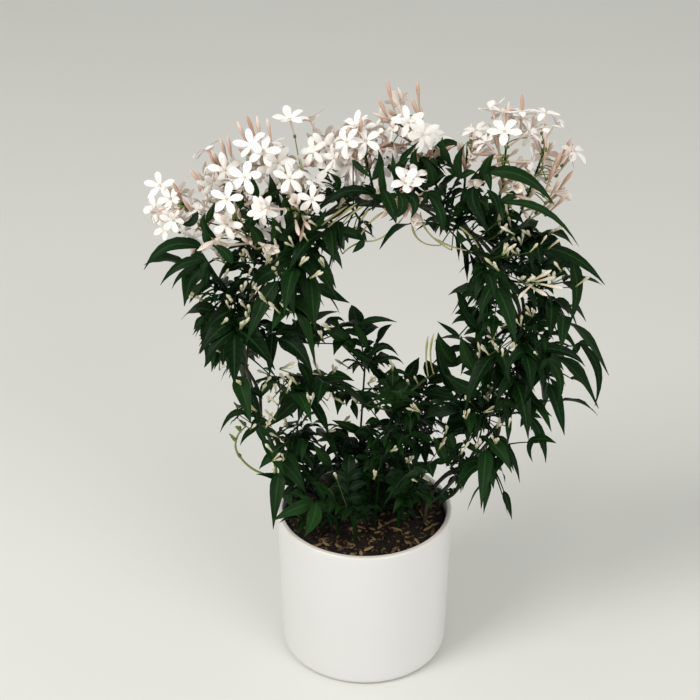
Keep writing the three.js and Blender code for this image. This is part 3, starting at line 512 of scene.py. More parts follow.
def tube(line, radii, sides, start=None):
    """Rings of a round tube along a line of points. Its first ring is square to start, where given."""
    line = np.asarray(line, float)
    tangents = np.gradient(line, axis=0)
    if start is not None:
        tangents[0] = start
    radii = np.broadcast_to(radii, len(line))
    side = ways_across(unit(tangents[0]))[0]
    angles = np.linspace(0, 2 * math.pi, sides, endpoint=False)[:, None]
    rings = []
    for point, tangent, radius in zip(line, tangents, radii):
        tangent = unit(tangent)
        side = unit(side - tangent * side.dot(tangent))
        square = np.cross(tangent, side)
        rings.append(point + radius * (np.cos(angles) * side + np.sin(angles) * square))
    return np.array(rings)


print("first draw of stream 100:", round(draws(100)(), 4))

# %% [markdown]
# ## The pot
#
# The pot is a plain cylinder that widens a little to its rim, with a rounded foot and a thin rim. A
# turned form is a profile swept round an axis. Here the rings run down the profile, from the middle of
# the floor inside, over the rim and back to the middle underneath, so it is one closed skin.

# %% Turn the pot
POT = SimpleNamespace(
    rim_radius=70, foot_radius=67.5, height=128, wall=4.5, floor=7, corner=3, foot_edge=6, rim_edge=1.5
)


def arc(radius, height, size, start, end):
    """Points of the profile round a centre, from one angle to another."""
    angles = np.radians(np.linspace(start, end, 7))
    return [(radius + size * math.cos(a), height + size * math.sin(a)) for a in angles]


def slope(first, last, shares):
    return [(mix(first[0], last[0], t), mix(first[1], last[1], t)) for t in shares]


def pot_profile():
    """The profile as (radius, height), from the floor inside to the middle of the foot."""
    inner_rim, inner_foot = POT.rim_radius - POT.wall, POT.foot_radius - POT.wall
    edge_height, corner_height = POT.height - POT.rim_edge, POT.floor + POT.corner
    points = [(0.4, POT.floor), (30, POT.floor)]
    points += arc(inner_foot - POT.corner, corner_height, POT.corner, -90, 0)
    points += slope((inner_foot, corner_height), (inner_rim, edge_height), (0.25, 0.5, 0.75, 0.92))
    points += arc(inner_rim + POT.rim_edge, edge_height, POT.rim_edge, 180, 90)
    points += arc(POT.rim_radius - POT.rim_edge, edge_height, POT.rim_edge, 90, 0)
    outside = (POT.rim_radius, edge_height), (POT.foot_radius, POT.foot_edge)
    points += slope(*outside, (0.06, 0.25, 0.5, 0.75, 0.94))
    points += arc(POT.foot_radius - POT.foot_edge, POT.foot_edge, POT.foot_edge, 0, -90)
    return points + [(40, 0), (0.4, 0)]


def level_ring(radius, height, count):
    """A ring round the pot's axis. Its height may be a function of x and y."""
    around = np.linspace(0, 2 * math.pi, count, endpoint=False)
    x, y = radius * np.cos(around), radius * np.sin(around)
    return np.stack([x, y, height(x, y) if callable(height) else np.full(count, height)], axis=-1)


pot = Skins()
pot.add([level_ring(radius, height, 128) for radius, height in pot_profile()])
glazed_pot = pot.piece("glazed_pot", GLAZE, "pot_glaze", ["pot"])
print("pot:", [round(d * 1000) for d in glazed_pot.dimensions], "mm")

# %% [markdown]
# ## The soil
#
# Peat settles into low mounds with crumbs on them. Its top could be sculpted, but a few waves of
# different lengths do: the long ones are those of the solid below, and the short ones add crumbs.

# %% Heap the soil
SOIL = SimpleNamespace(level=121, relief=1.6, under=7.35)
soil_draws = np.random.default_rng(11)
# Each short wave as how close it is, the way it runs and its phase. The third draw isn't used.
WAVES = [
    (soil_draws.uniform(0.5, 1.6), *soil_draws.uniform(-math.pi, math.pi, 2), soil_draws.uniform(0, 6.3))
    for _ in range(26)
]


def soil_height(x, y):
    mounds = np.sin(x / 7.3 + 1.1) * np.cos(y / 6.1) + 0.6 * np.sin(x / 3.9 - y / 4.7 + 2)
    crumbs = sum(0.16 * np.sin(k * (math.cos(a) * x + math.sin(a) * y) + p) for k, a, _, p in WAVES)
    return SOIL.level + SOIL.relief * mounds * 0.6 + crumbs


top_radii = [0.3, *np.linspace(1.5, 63.5, 44)]
below = [(64.2, 119.5), (63.4, 90), (62, 20), (61.9, SOIL.under), (1, SOIL.under)]
soil = Skins()
soil.add([level_ring(r, soil_height, 120) for r in top_radii] + [level_ring(r, z, 120) for r, z in below])
peat = soil.piece("peat", PEAT, "potting_soil", ["soil"])
print("soil faces:", len(peat.data.polygons))

# %% [markdown]
# Bark chips, fibre and crumbs of peat lie loose on top. Each is a small flake, thicker in the middle, with
# a crooked outline. Most are dark, and one in eight is dry and tan. They lie on the soil, tilted a bit.

# %% Scatter chips and crumbs on the soil
CHIP_COUNT = 420
CHIP_REACH = 63.5  # how near to the pot's wall a chip may lie
CHIP_THICK = 0.55
# A chip's rings as where they are along it and how big.
CHIP_RINGS = [(-0.5, 0.35), (-0.2, 0.9), (0.25, 1), (0.5, 0.3)]
chips = Skins()
chip_draws = np.random.default_rng(12)
for number in range(CHIP_COUNT):
    is_dry = number % 8 == 0
    radius = 62.5 * math.sqrt(chip_draws.random())
    angle = chip_draws.uniform(-2.3, 0.1) if is_dry else chip_draws.uniform(0, 2 * math.pi)
    x, y = radius * math.cos(angle), radius * math.sin(angle)
    long = chip_draws.uniform(4, 10) if is_dry else chip_draws.uniform(1.2, 5.5)
    wide = min(long, chip_draws.uniform(2, 3.8) if is_dry else chip_draws.uniform(1, 2.6))
    if radius + long / 2 > CHIP_REACH:
        continue
    heading = chip_draws.uniform(0, 2 * math.pi)
    tilt = chip_draws.uniform(-0.35, 0.35)
    way = vector(math.cos(heading) * math.cos(tilt), math.sin(heading) * math.cos(tilt), math.sin(tilt))
    middle = vector(x, y, soil_height(x, y) + 0.5)
    side, top = ways_across(way)
    corners = np.linspace(0, 2 * math.pi, 6, endpoint=False)
    out = np.outer(np.cos(corners) * wide / 2, side) + np.outer(np.sin(corners) * CHIP_THICK, top)
    rough = chip_draws.uniform(0.75, 1.15, (4, 6))
    rings = [middle + way * long * t + out * (s * r)[:, None] for (t, s), r in zip(CHIP_RINGS, rough)]
    chips.add(rings, tint=chip_draws.uniform(0.5, 1) if is_dry else chip_draws.uniform(0, 0.2))
chips.piece("bark_chips", CHIPS, "potting_soil")
print("chips on the soil:", len(chips.points))

# %% [markdown]
# ## The hoop and the stems that wind round it
#
# The hoop is one curve through a few points, drawn in the upright plane through the pot's axis. A stem
# keeps a constant distance from it and turns round it seven and a quarter times from end to end. The
# stems spread a little where they enter the soil.

# %% Bend the hoop
HOOP = SimpleNamespace(wire_radius=1.5, in_soil=62, pieces=400)
HOOP_ROUTE = [
    (48, 126), (68, 150), (103, 200), (118, 255), (112, 315), (78, 368), (22, 394),
    (-38, 378), (-80, 328), (-92, 272), (-80, 210), (-62, 158), (-50, 126),
]  # fmt: skip
NEARBY = 0.004  # a small share of the hoop's length


def through(points, t):
    """The point at t, from 0 to 1, on a smooth curve that passes through all the points."""
    place = (len(points) - 1) * t
    i = min(int(place), len(points) - 2)
    before = points[i - 1] if i > 0 else 2 * points[0] - points[1]
    after = points[i + 2] if i + 2 < len(points) else 2 * points[-1] - points[-2]
    a, b, u = points[i], points[i + 1], place - i
    start, end = (b - before) / 2, (after - a) / 2
    return a + start * u + (3 * (b - a) - 2 * start - end) * u**2 + (2 * (a - b) + start + end) * u**3


hoop_points = [vector(x, 0, z) for x, z in HOOP_ROUTE]
shares = np.linspace(0, 1, HOOP.pieces + 1)
fine_route = np.array([through(hoop_points, t) for t in shares])
lengths = np.concatenate([[0], np.cumsum(np.linalg.norm(np.diff(fine_route, axis=0), axis=1))])
HOOP_LENGTH = lengths[-1]


def hoop_point(share):
    return through(hoop_points, np.interp(share * HOOP_LENGTH, lengths, shares))


def on_hoop(share):
    """The hoop's point at a share of its length, with the way out from its ring."""
    u = clipped(share)
    tangent = unit(hoop_point(clipped(u + NEARBY)) - hoop_point(clipped(u - NEARBY)))
    return hoop_point(u), vector(tangent[2], 0, -tangent[0])


feet = [vector(hoop_points[i][0], 0, SOIL.level - HOOP.in_soil) for i in (0, -1)]
wire = [feet[0], *points_on(hoop_point, 121), feet[1]]
hoop = Skins()
hoop.add(tube(wire, HOOP.wire_radius, 10))
hoop.piece("hoop_wire", PAINT, "hoop_wire", ["hoop"])
print("hoop length:", round(HOOP_LENGTH), "mm")

# %% Wind the stems
WINDING = SimpleNamespace(turns=7.25, radius=4.4, spread=6, spread_height=60, in_soil=42, step=18)
STEMS = [
    SimpleNamespace(name="stem_right_a", start=0, end=0.6, phase=90, radius=1.7),
    SimpleNamespace(name="stem_right_b", start=0, end=0.56, phase=270, radius=1.5),
    SimpleNamespace(name="stem_left_a", start=1, end=0.5, phase=0, radius=1.7),
    SimpleNamespace(name="stem_left_b", start=1, end=0.58, phase=180, radius=1.5),
]
STEM_TIP = 0.9  # a stem's radius at its end
KNOT = 0.16  # how much thicker a stem is at its nodes


def smooth_step(value, low, high):
    t = clipped((value - low) / (high - low))
    return t * t * (3 - 2 * t)


def winding(stem, share):
    """The stem's point at a share of the hoop, and the way to it from the wire."""
    point, outward = on_hoop(share)
    turned = math.radians(stem.phase) + 2 * math.pi * WINDING.turns * share
    way = outward * math.cos(turned) + vector(0, -math.sin(turned), 0)
    near_soil = 1 - smooth_step(point[2] - SOIL.level, 0, WINDING.spread_height)
    return point + way * (WINDING.radius + WINDING.spread * near_soil), way


def stem_bends(stem):
    reach = abs(stem.end - stem.start)
    n = math.floor(reach * HOOP_LENGTH / WINDING.step + 0.5)
    bends = []
    for i in range(n + 1):
        share = mix(stem.start, stem.end, i / n)
        point, way = winding(stem, share)
        radius = mix(stem.radius, STEM_TIP, i / n)
        bends.append(SimpleNamespace(stem=stem, share=share, point=point, way=way, radius=radius))
    return bends


BENDS = [bend for stem in STEMS for bend in stem_bends(stem)]
for stem in STEMS:
    bends = [bend for bend in BENDS if bend.stem is stem]
    axis = [bends[0].point * vector(1, 1, 0) + UP * (SOIL.level - WINDING.in_soil)]
    axis += [bend.point for bend in bends]
    stem.axis = np.array(axis)
    stem.radii = [stem.radius] + [bend.radius for bend in bends]
    smooth = points_on(lambda t: through(stem.axis, t), 5 * len(axis))
    girth = np.interp(np.linspace(0, 1, len(smooth)), np.linspace(0, 1, len(axis)), stem.radii)
    knots = 1 + KNOT * np.sin(np.linspace(0, 2.6 * len(axis), len(smooth))) ** 8
    skin = Skins()
    skin.add(tube(smooth, girth * knots, 8), along=np.linspace(0, 0.03 * len(smooth), len(smooth)))
    skin.piece(stem.name.replace("stem", "vine"), BARK, "stem_bark", [stem.name])
print("bends on the stems:", len(BENDS))

# %% [markdown]
# ## Room to grow
#
# Leaves don't pass through each other. Before a leaf or flower is made, points over it are tested against
# points on all that has grown so far. If they crowd, it turns, bends or shortens. The clear view through
# the ring, the soil's front and the plant's outline are kept by the same test.

# %% Keep track of the room
BLADE = 0.8  # how thick a solid's leaf or petal is
CLEAR = 0.35  # how far from its stem a shoot starts
STEP = 1.8  # how far apart the points over a leaf or a stalk are
NEAR = 6  # how far round a leaf or stalk others are looked for
SLACK = SimpleNamespace(others=1.7, own=0.9)  # air to other nodes, and to a node's own other pieces
STALK_ROOM = 1.2
LOOK = 0.55  # how much higher a point looks for each millimetre that it lies further back
# The clear view through the ring and the soil that shows: across, up, and up as seen from the best side.
# The outline has rows of height seen, and how far left and right a leaf may reach there.
WINDOW = SimpleNamespace(x=(-12, 60), z=(284, 350), seen=(292, 360), y=90)
OPEN_SOIL = SimpleNamespace(x=(-22, 76), seen=(60, 140))
OUTLINE = np.array(
    [
        (100, -78, 116), (150, -92, 124), (200, -112, 150), (225, -118, 184), (260, -128, 178),
        (300, -136, 174), (340, -166, 180), (400, -160, 156), (500, -160, 156),
    ]  # fmt: skip
)


class Room:
    """Points on all that has grown, each with the room round it, and the node and piece that it is on."""

    def __init__(self):
        self.points, self.radii = np.empty((0, 3)), np.empty(0)
        self.nodes, self.pieces = np.empty(0, int), np.empty(0, int)
        self.names = {}

    def number(self, name):
        return 0 if name is None else self.names.setdefault(name, len(self.names) + 1)

    def occupy(self, points, radii, node, piece=None):
        n = len(points)
        self.points = np.concatenate([self.points, points])
        self.radii = np.concatenate([self.radii, np.broadcast_to(radii, n)])
        self.nodes = np.concatenate([self.nodes, np.full(n, self.number(node))])
        self.pieces = np.concatenate([self.pieces, np.full(n, self.number(piece))])

    def crowds(self, points, radii, node, piece=None, carried=None, slack=SLACK):
        """Whether the points come too near to others. carried marks points that may lie by a carrier."""
        low, high = points.min(axis=0) - NEAR, points.max(axis=0) + NEAR
        near = np.all((self.points > low) & (self.points < high), axis=1)
        own = self.nodes == self.number(node)
        near &= ~own | ((self.pieces != 0) & (self.pieces != self.number(piece)) & (piece is not None))
        others = np.flatnonzero(near)
        if not len(others):
            return False
        gaps = np.linalg.norm(points[:, None] - self.points[others][None], axis=2)
        room = np.where(own[others], slack.own, slack.others) + self.radii[others]
        meets = gaps < np.broadcast_to(radii, len(points))[:, None] + room
        if carried:
            carrier, close = carried
            meets &= ~(close[:, None] & (self.nodes[others] == self.number(carrier)))
        return bool(meets.any())


def height_seen(points):
    return points[:, 2] + LOOK * points[:, 1]


def within(values, pair):
    return (values > pair[0]) & (values < pair[1])


def in_pot(points, radii):
    out = np.hypot(points[:, 0], points[:, 1])
    low = points[:, 2] - radii
    inside = out < POT.rim_radius - POT.wall - SLACK.others
    in_soil = low < SOIL.level + SOIL.relief + SLACK.others
    by_wall = (out < POT.rim_radius + radii + SLACK.others) & (low < POT.height + SLACK.others)
    return bool(np.where(inside, in_soil, by_wall).any())


def in_window(points):
    view = within(points[:, 2], WINDOW.z) | within(height_seen(points), WINDOW.seen)
    return bool((within(points[:, 0], WINDOW.x) & (np.abs(points[:, 1]) < WINDOW.y) & view).any())


def beyond_outline(points):
    x, height = points[:, 0], height_seen(points)
    open_soil = within(x, OPEN_SOIL.x) & within(height, OPEN_SOIL.seen)
    left, right = (looked_up(OUTLINE, height, side) for side in (1, 2))
    level = (height >= OUTLINE[0, 0]) & (height < OUTLINE[-1, 0])
    return bool((open_soil | (level & ((x < left) | (x > right)))).any())


room = Room()


def along_line(a, b):
    n = max(1, math.ceil(np.linalg.norm(b - a) / STEP))
    return a + (b - a) * np.linspace(0, 1, n + 1)[:, None]


def is_crowded(points, radii, node, piece=None, carried=None):
    blocked = in_pot(points, radii) or in_window(points)
    return blocked or room.crowds(points, radii, node, piece, carried)


room.occupy(np.array([on_hoop(i / 480)[0] for i in range(481)]), HOOP.wire_radius, "hoop")
for stem in STEMS:
    for i in range(1, len(stem.axis)):
        room.occupy(along_line(stem.axis[i - 1], stem.axis[i]), stem.radii[i], stem.name)
print("points on the hoop and stems:", len(room.points))

# %% [markdown]
# ## Where shoots and sprays leave the stems
#
# A climber's shoots come from the nodes of its stems, on the side that faces the light that they seek.
# From there each runs in an easy bow: it sets out square to the stem, then leans to its goal.

# %% Find each shoot's way
LEAVING = SimpleNamespace(reach=0.09, bare_foot=12, pull=9)
STALK_STEPS = 6
BY_STEM = 6  # how much of a stalk's foot may lie by its stem


def leavings(at, towards):
    """The stems' bends near a share of the hoop and their starts, those that face a point best first."""
    aim = unit(towards - on_hoop(at)[0])
    found = []
    for bend in BENDS:
        away = abs(bend.share - at)
        if away < LEAVING.reach and bend.point[2] > SOIL.level + LEAVING.bare_foot:
            fit = bend.way.dot(aim) - LEAVING.pull * away
            found.append((fit, bend, bend.point + bend.way * (bend.radius + CLEAR)))
    return sorted(found, key=lambda one: -one[0])


def bow(start, way, tip, lead, rise):
    """A curve that sets out along a way and leans to a tip."""
    control = start + way * lead + UP * rise

    def line(t):
        a = start + (control - start) * t
        return a + (control + (tip - control) * t - a) * t

    line.way = way
    return line


def stalk_points(line, steps):
    axis = [line(i / steps) for i in range(steps + 1)]
    return np.concatenate([along_line(a, b) for a, b in zip(axis, axis[1:])])


def find_route(at, target, end, node, lead, rise):
    for _, bend, start in leavings(at, target):
        line = bow(start, bend.way, end(start), lead, rise)
        points = stalk_points(line, STALK_STEPS)
        close = np.linalg.norm(points - start, axis=1) < BY_STEM
        if not is_crowded(points, STALK_ROOM, node, carried=(bend.stem.name, close)):
            room.occupy(points, STALK_ROOM, node)
            return line
    raise ValueError(node + " finds no way out")


print("bends near the crown:", len(leavings(0.5, vector(0, 0, 450))))

# %% [markdown]
# ## How a flower or bud sits on its spray
#
# Jasmine flowers stand in loose heads. Each flower is a slender tube with five lobes spread flat at its
# end, and each bud is the same tube with its lobes still rolled to a spindle. Round a head they point
# everywhere but back, so their directions are spread evenly over a cap by the golden angle.

# %% Grow the sprays
FLOWER = SimpleNamespace(tube=(16, 21), lobes=13, notches=6.2)
BUD_LENGTH = (17.2, 26.4)
# Where on its stalk a head's blooms sit, how far they lean out in degrees, and which way it faces.
HEAD = SimpleNamespace(blooms=(0.66, 0.98), flowers_lean=88, buds_lean=80, lead=10, facing=(0, -0.55, 0.45))
GOLDEN = math.pi * (3 - math.sqrt(5))
DIRECTIONS = 24
ATTEMPTS = 40
BLOOM_ROOT = 4.5  # how much of a bloom's foot needs no room of its own
TUBE_ROOM, BUD_ROOM = 1, 1.5
STAR_RINGS = (0.4, 0.7, 1)  # where a star is tested, in shares of its lobes
STAR_POINTS = 30  # on the largest of these rings
# Each spray as where it leaves the stems, its head, and its numbers of flowers and buds.
SPRAYS = [
    (0.7, (-132, -8, 396), 5, 3), (0.67, (-106, 4, 420), 5, 5), (0.665, (-92, -40, 398), 6, 3),
    (0.63, (-72, -8, 430), 6, 6), (0.61, (-54, -46, 408), 6, 3), (0.575, (-34, 18, 432), 5, 4),
    (0.53, (-2, -14, 440), 6, 4), (0.49, (26, 0, 452), 6, 8), (0.505, (24, -36, 412), 3, 5),
    (0.45, (72, 8, 436), 2, 3), (0.4, (98, -10, 446), 6, 4), (0.37, (126, 4, 430), 4, 6),
    (0.34, (120, -44, 350), 0, 4),
]  # fmt: skip


def cap_direction(axis, i, widest, twist):
    """The way number i of those that are spread evenly over a cap round an axis."""
    level, square = ways_across(axis)
    tilt = math.radians(widest) * math.sqrt((i + 0.5) / DIRECTIONS)
    a = twist + GOLDEN * i
    out = level * math.cos(a) + square * math.sin(a)
    return unit(axis * math.cos(tilt) + out * math.sin(tilt))


def out_from(direction, spin):
    """The way out from an axis, at an angle round it from its spin."""
    level, square = ways_across(direction)
    return lambda a: level * math.cos(a + spin) - square * math.sin(a + spin)


def star_radius(a):
    return mix(FLOWER.notches, FLOWER.lobes, math.cos(2.5 * a) ** 2)


def bloom_points(bloom):
    """Points over a bloom's tube and star with their radii, for the room it takes."""
    axis = along_line(bloom.base, bloom.end)
    axis = axis[np.linalg.norm(axis - bloom.base, axis=1) > BLOOM_ROOT]
    points, radii = list(axis), [TUBE_ROOM if bloom.is_flower else BUD_ROOM] * len(axis)
    out = out_from(bloom.direction, bloom.spin)
    for share in STAR_RINGS if bloom.is_flower else ():
        n = math.ceil(STAR_POINTS * share)
        for k in range(n):
            a = 2 * math.pi * k / n
            if share * FLOWER.lobes > star_radius(a) + 1:
                continue
            points.append(bloom.end + bloom.direction * BLADE + out(a) * share * FLOWER.lobes * bloom.size)
            radii.append(BLADE)
    return np.array(points), np.array(radii)


def new_bloom(is_flower, base, direction, length, spin, size=1.0):
    bloom = SimpleNamespace(is_flower=is_flower, base=base, direction=direction, length=length)
    bloom.spin, bloom.size, bloom.end = spin, size, base + direction * length
    return bloom


def grow_spray(at, head, flowers, buds, node, seed):
    """A spray's stalk, and those of its blooms that have found their room round its head."""
    draw = draws(seed)
    head = vector(*head)
    line = find_route(at, head, lambda start: head, node, HEAD.lead, 0)
    axis = unit(unit(head - line(0.7)) + vector(*HEAD.facing))
    twist = draw() * 2 * math.pi
    total = flowers + buds
    blooms = []
    for i in range(total):
        is_flower = (i + 1) * flowers // total > i * flowers // total
        base = line(between(HEAD.blooms, i / (total - 1)))
        length = between(FLOWER.tube if is_flower else BUD_LENGTH, draw())
        spin = draw() * 2 * math.pi
        lean = HEAD.flowers_lean if is_flower else HEAD.buds_lean
        for k in range(ATTEMPTS):
            direction = cap_direction(axis, (i * 3 + k) % DIRECTIONS, lean, twist)
            bloom = new_bloom(is_flower, base, direction, length, spin)
            points, radii = bloom_points(bloom)
            if not is_crowded(points, radii, node, str(i)):
                room.occupy(points, radii, node, str(i))
                blooms.append(bloom)
                break
    return SimpleNamespace(name=node, line=line, axis=axis, blooms=blooms)


sprays = [grow_spray(*spray, f"spray_{i + 1:02}", 300 + i) for i, spray in enumerate(SPRAYS)]
print("flowers:", sum(b.is_flower for s in sprays for b in s.blooms))
print("buds:", sum(not b.is_flower for s in sprays for b in s.blooms))


# %% Measure how well the blooms sit on their solids
def off_solid(points, node):
    """How far the worst of some points lies from the nearest corner of a solid, in mm."""
    corners = np.array([v.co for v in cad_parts[node].data.vertices]) / MM
    return max(np.linalg.norm(nearest(corners, point) - point) for point in points)


worst = {}
for spray in sprays:
    worst[spray.name] = round(off_solid([bloom.end for bloom in spray.blooms], spray.name), 2)
print("bloom ends off their solids, mm:", worst)

# %% [markdown]
# ## How a shoot carries its leaves
#
# Jasmine leaves grow in opposite pairs, each pair square to the last, with one leaf at the shoot's tip.
# A leaf is pinnate: side leaflets in pairs on a rib, and a larger one at its end. It leaves its shoot at
# an angle and droops more towards its tip.

# %% Describe the shoots
# A leaf's rib, with where it ends, and its leaflets' angle in degrees and sizes.
LEAF = SimpleNamespace(rib=0.9, side_angle=55, rachis=0.5, side_length=0.42, side_width=0.5, end_width=0.44)
# A solid leaf's pairs for its number of leaflets, as where they sit and their size.
PAIRS = {5: [(0.24, 0.86), (0.42, 1)], 3: [(0.36, 1)]}
# How leaves grow at a shoot's tip and along it. Angles are in degrees, the rest in shares of a length.
TIP_HABIT = SimpleNamespace(droop=(0.26, 0.44), roll=(-14, 14))
SIDE_HABIT = SimpleNamespace(
    open=(46, 66), tilt=(-30, 30), turn=(-18, 18), length=(0.84, 1), droop=(0.16, 0.42), roll=(-24, 24)
)
SHOOT = SimpleNamespace(base_radius=1.4, tip_radius=1, shortest=14, lead=6, rise=5)
LEAF_ROOT = 7  # how much of a leaf's stalk needs no room of its own
# What a leaf tries until it is clear: a smaller scale, a further turn round its shoot and a wider angle.
TRIES = [
    (scale, turn, lift)
    for scale in (1, 0.85, 0.7, 0.58)
    for turn in (0, 22, -22, 44, -44, 66, -66, 88, -88)
    for lift in (0, 22, -22, 40)
]
STEEPEST = 0.93  # how upright a leaf's first way may be, where 1 is upright
# Shoots from the stems as where they leave, their last leaf's tip, a leaf's length and its leaflets.
SHOOTS = [
    (0.14, (108, -28, 188), 56, 3), (0.19, (138, -2, 186), 60, 3), (0.24, (150, -24, 232), 68, 5),
    (0.25, (180, 2, 226), 84, 5), (0.27, (118, -74, 276), 70, 3), (0.28, (148, 50, 258), 68, 3),
    (0.34, (174, 0, 328), 78, 3), (0.34, (104, -76, 326), 70, 3), (0.36, (138, 62, 340), 70, 3),
    (0.4, (146, -24, 372), 84, 5), (0.42, (98, -72, 378), 74, 3), (0.45, (54, -36, 446), 64, 3),
    (0.31, (68, -20, 324), 54, 3), (0.27, (65, -40, 302), 64, 3), (0.17, (44, -50, 240), 70, 3),
    (0.53, (4, -38, 384), 64, 3), (0.57, (-34, 64, 392), 64, 3), (0.61, (-56, -76, 372), 70, 3),
    (0.6, (-22, -14, 356), 54, 3), (0.64, (-96, 62, 372), 68, 3), (0.66, (-160, -10, 346), 84, 5),
    (0.69, (-98, -70, 332), 72, 3), (0.71, (-128, 42, 288), 66, 3), (0.7, (-24, -28, 334), 66, 3),
    (0.75, (14, -12, 279), 60, 3), (0.73, (-124, -24, 282), 68, 3), (0.8, (-98, 54, 216), 64, 3),
    (0.79, (2, -44, 280), 66, 3), (0.83, (-104, -14, 212), 58, 3), (0.88, (-30, -34, 204), 60, 3),
    (0.08, (114, -8, 126), 36, 3),
]  # fmt: skip
HANGING = 30  # the last of them hangs over the pot's side with two pairs of leaves
# Shoots from the soil as their root, last leaf's tip, pairs, leaf's length and how far they rise first.
SOIL_SHOOTS = [
    ((-6, 12), (2, 14, 296), 2, 48, 20), ((8, -14), (26, -34, 282), 2, 54, 24),
    ((24, 22), (58, 40, 256), 1, 58, 18), ((26, -22), (50, -56, 224), 1, 64, 24),
    ((-22, -30), (-66, -38, 140), 1, 44, 24), ((-8, -38), (-24, -62, 214), 1, 64, 14),
]  # fmt: skip


def leaf_form(base, heading, length, droop, roll):
    """A leaf in space: its line, the direction along it, and the way its width lies."""
    level, square = ways_across(heading)
    side = unit(level * math.cos(roll) + square * math.sin(roll))

    def along(t):
        t = np.asarray(t, float)[..., None]
        return base + heading * length * t - UP * droop * length * t * t

    def tangent(t):
        return unit(heading - UP * 2 * droop * t)

    return SimpleNamespace(length=length, droop=droop, along=along, tangent=tangent, side=side)


def side_leaflet(form, t, sign, size):
    """A side leaflet's length, width, the way its width lies, and its middle line."""
    length = form.length * LEAF.side_length * size
    tangent = form.tangent(t)
    angle = math.radians(LEAF.side_angle)
    way = unit(tangent * math.cos(angle) + form.side * sign * math.sin(angle))
    wide = unit(tangent - way * tangent.dot(way))
    root = form.along(t) + form.side * sign * LEAF.rib

    def line(u):
        u = np.asarray(u, float)[..., None]
        return root + way * length * u - UP * (0.25 + 0.5 * form.droop) * length * u * u

    return SimpleNamespace(length=length, width=length * LEAF.side_width, wide=wide, line=line)


def end_leaflet(form):
    share = 1 - LEAF.rachis
    length = form.length * share
    line = lambda u: form.along(LEAF.rachis + share * np.asarray(u, float))
    return SimpleNamespace(length=length, width=length * LEAF.end_width, wide=form.side, line=line)


def spread_points(leaflet):
    """Points over a solid's leaflet, which is widest at four tenths of its length."""
    n = math.ceil(leaflet.length / STEP)
    along, across = [], []
    for i in range(1, n + 1):
        u = i / n
        half = leaflet.width / 2 * (0.25 + 0.75 * (u / 0.4) if u < 0.4 else (1 - u) / 0.6)
        m = max(1, math.ceil(half / STEP))
        for j in range(-m, m + 1):
            along.append(u)
            across.append(half * j / m)
    return leaflet.line(np.array(along)) + np.array(across)[:, None] * leaflet.wide


def leaf_points(form, pairs):
    """Points over a leaf with their radii, for the room it takes."""
    rib = form.along(np.arange(LEAF_ROOT, LEAF.rachis * form.length, 2) / form.length)
    blades = [spread_points(side_leaflet(form, t, sign, size)) for t, size in pairs for sign in (-1, 1)]
    blades.append(spread_points(end_leaflet(form)))
    radii = [np.full(len(rib), LEAF.rib)] + [np.full(len(b), BLADE / 2) for b in blades]
    return np.concatenate([rib] + blades), np.concatenate(radii)


def grow_leaf(node, piece, base, axis, turn, open_, length, droop, roll, pairs):
    """A leaf that has found its room, or None."""
    level, square = ways_across(axis)
    for scale, more_turn, lift in TRIES:
        a, o = math.radians(turn + more_turn), math.radians(open_ + lift)
        out = level * math.cos(a) + square * math.sin(a)
        heading = unit(axis * math.cos(o) + out * math.sin(o))
        if abs(heading[2]) > STEEPEST:
            heading = unit(heading + vector(0, -0.4, 0))
        form = leaf_form(base + heading * 0.25, heading, length * scale, droop, roll)
        points, radii = leaf_points(form, pairs)
        if not is_crowded(points, radii, node, piece) and not beyond_outline(points):
            room.occupy(points, radii, node, piece)
            return form
    return None


print("shoots:", len(SHOOTS) + len(SOIL_SHOOTS))

# %% Let the shoots find their ways, then grow their leaves
SOIL_STALK_STEPS = 10
LEAVES_FROM, SOIL_LEAVES_FROM, LEAVES_TO = 0.55, 0.45, 0.86  # where pairs sit along a shoot


def new_shoot(kind, number, first_seed, tip, leaf, pairs, leaflets, at=None, root=None, rise=0):
    shoot = SimpleNamespace(name=f"{kind}_{number + 1:02}", seed=first_seed + number, tip=vector(*tip))
    shoot.leaf, shoot.pairs, shoot.leaflets = leaf, pairs, leaflets
    shoot.at, shoot.root, shoot.rise = at, root, rise
    return shoot


def shoot_line(shoot):
    """A shoot's way from its stem, or from the soil, to where its last leaf starts."""

    def end(start):
        reach = np.linalg.norm(shoot.tip - start)
        return start + (shoot.tip - start) * (max(SHOOT.shortest, reach - 0.9 * shoot.leaf) / reach)

    if shoot.root is None:
        return find_route(shoot.at, shoot.tip, end, shoot.name, SHOOT.lead, SHOOT.rise)
    root = vector(*shoot.root, SOIL.level + SHOOT.rise)
    line = bow(root, UP, end(root), shoot.rise, 0)
    room.occupy(stalk_points(line, SOIL_STALK_STEPS), STALK_ROOM, shoot.name)
    return line


def leaf_to(base, tip, droop):
    """The heading and length of a leaf that droops from its base to a tip."""
    chord = tip - base
    length = np.linalg.norm(chord)
    # The droop depends on the length and the length on the droop, and a few rounds settle both.
    for _ in range(4):
        length = np.linalg.norm(chord + UP * droop * length)
    return unit(chord + UP * droop * length), length


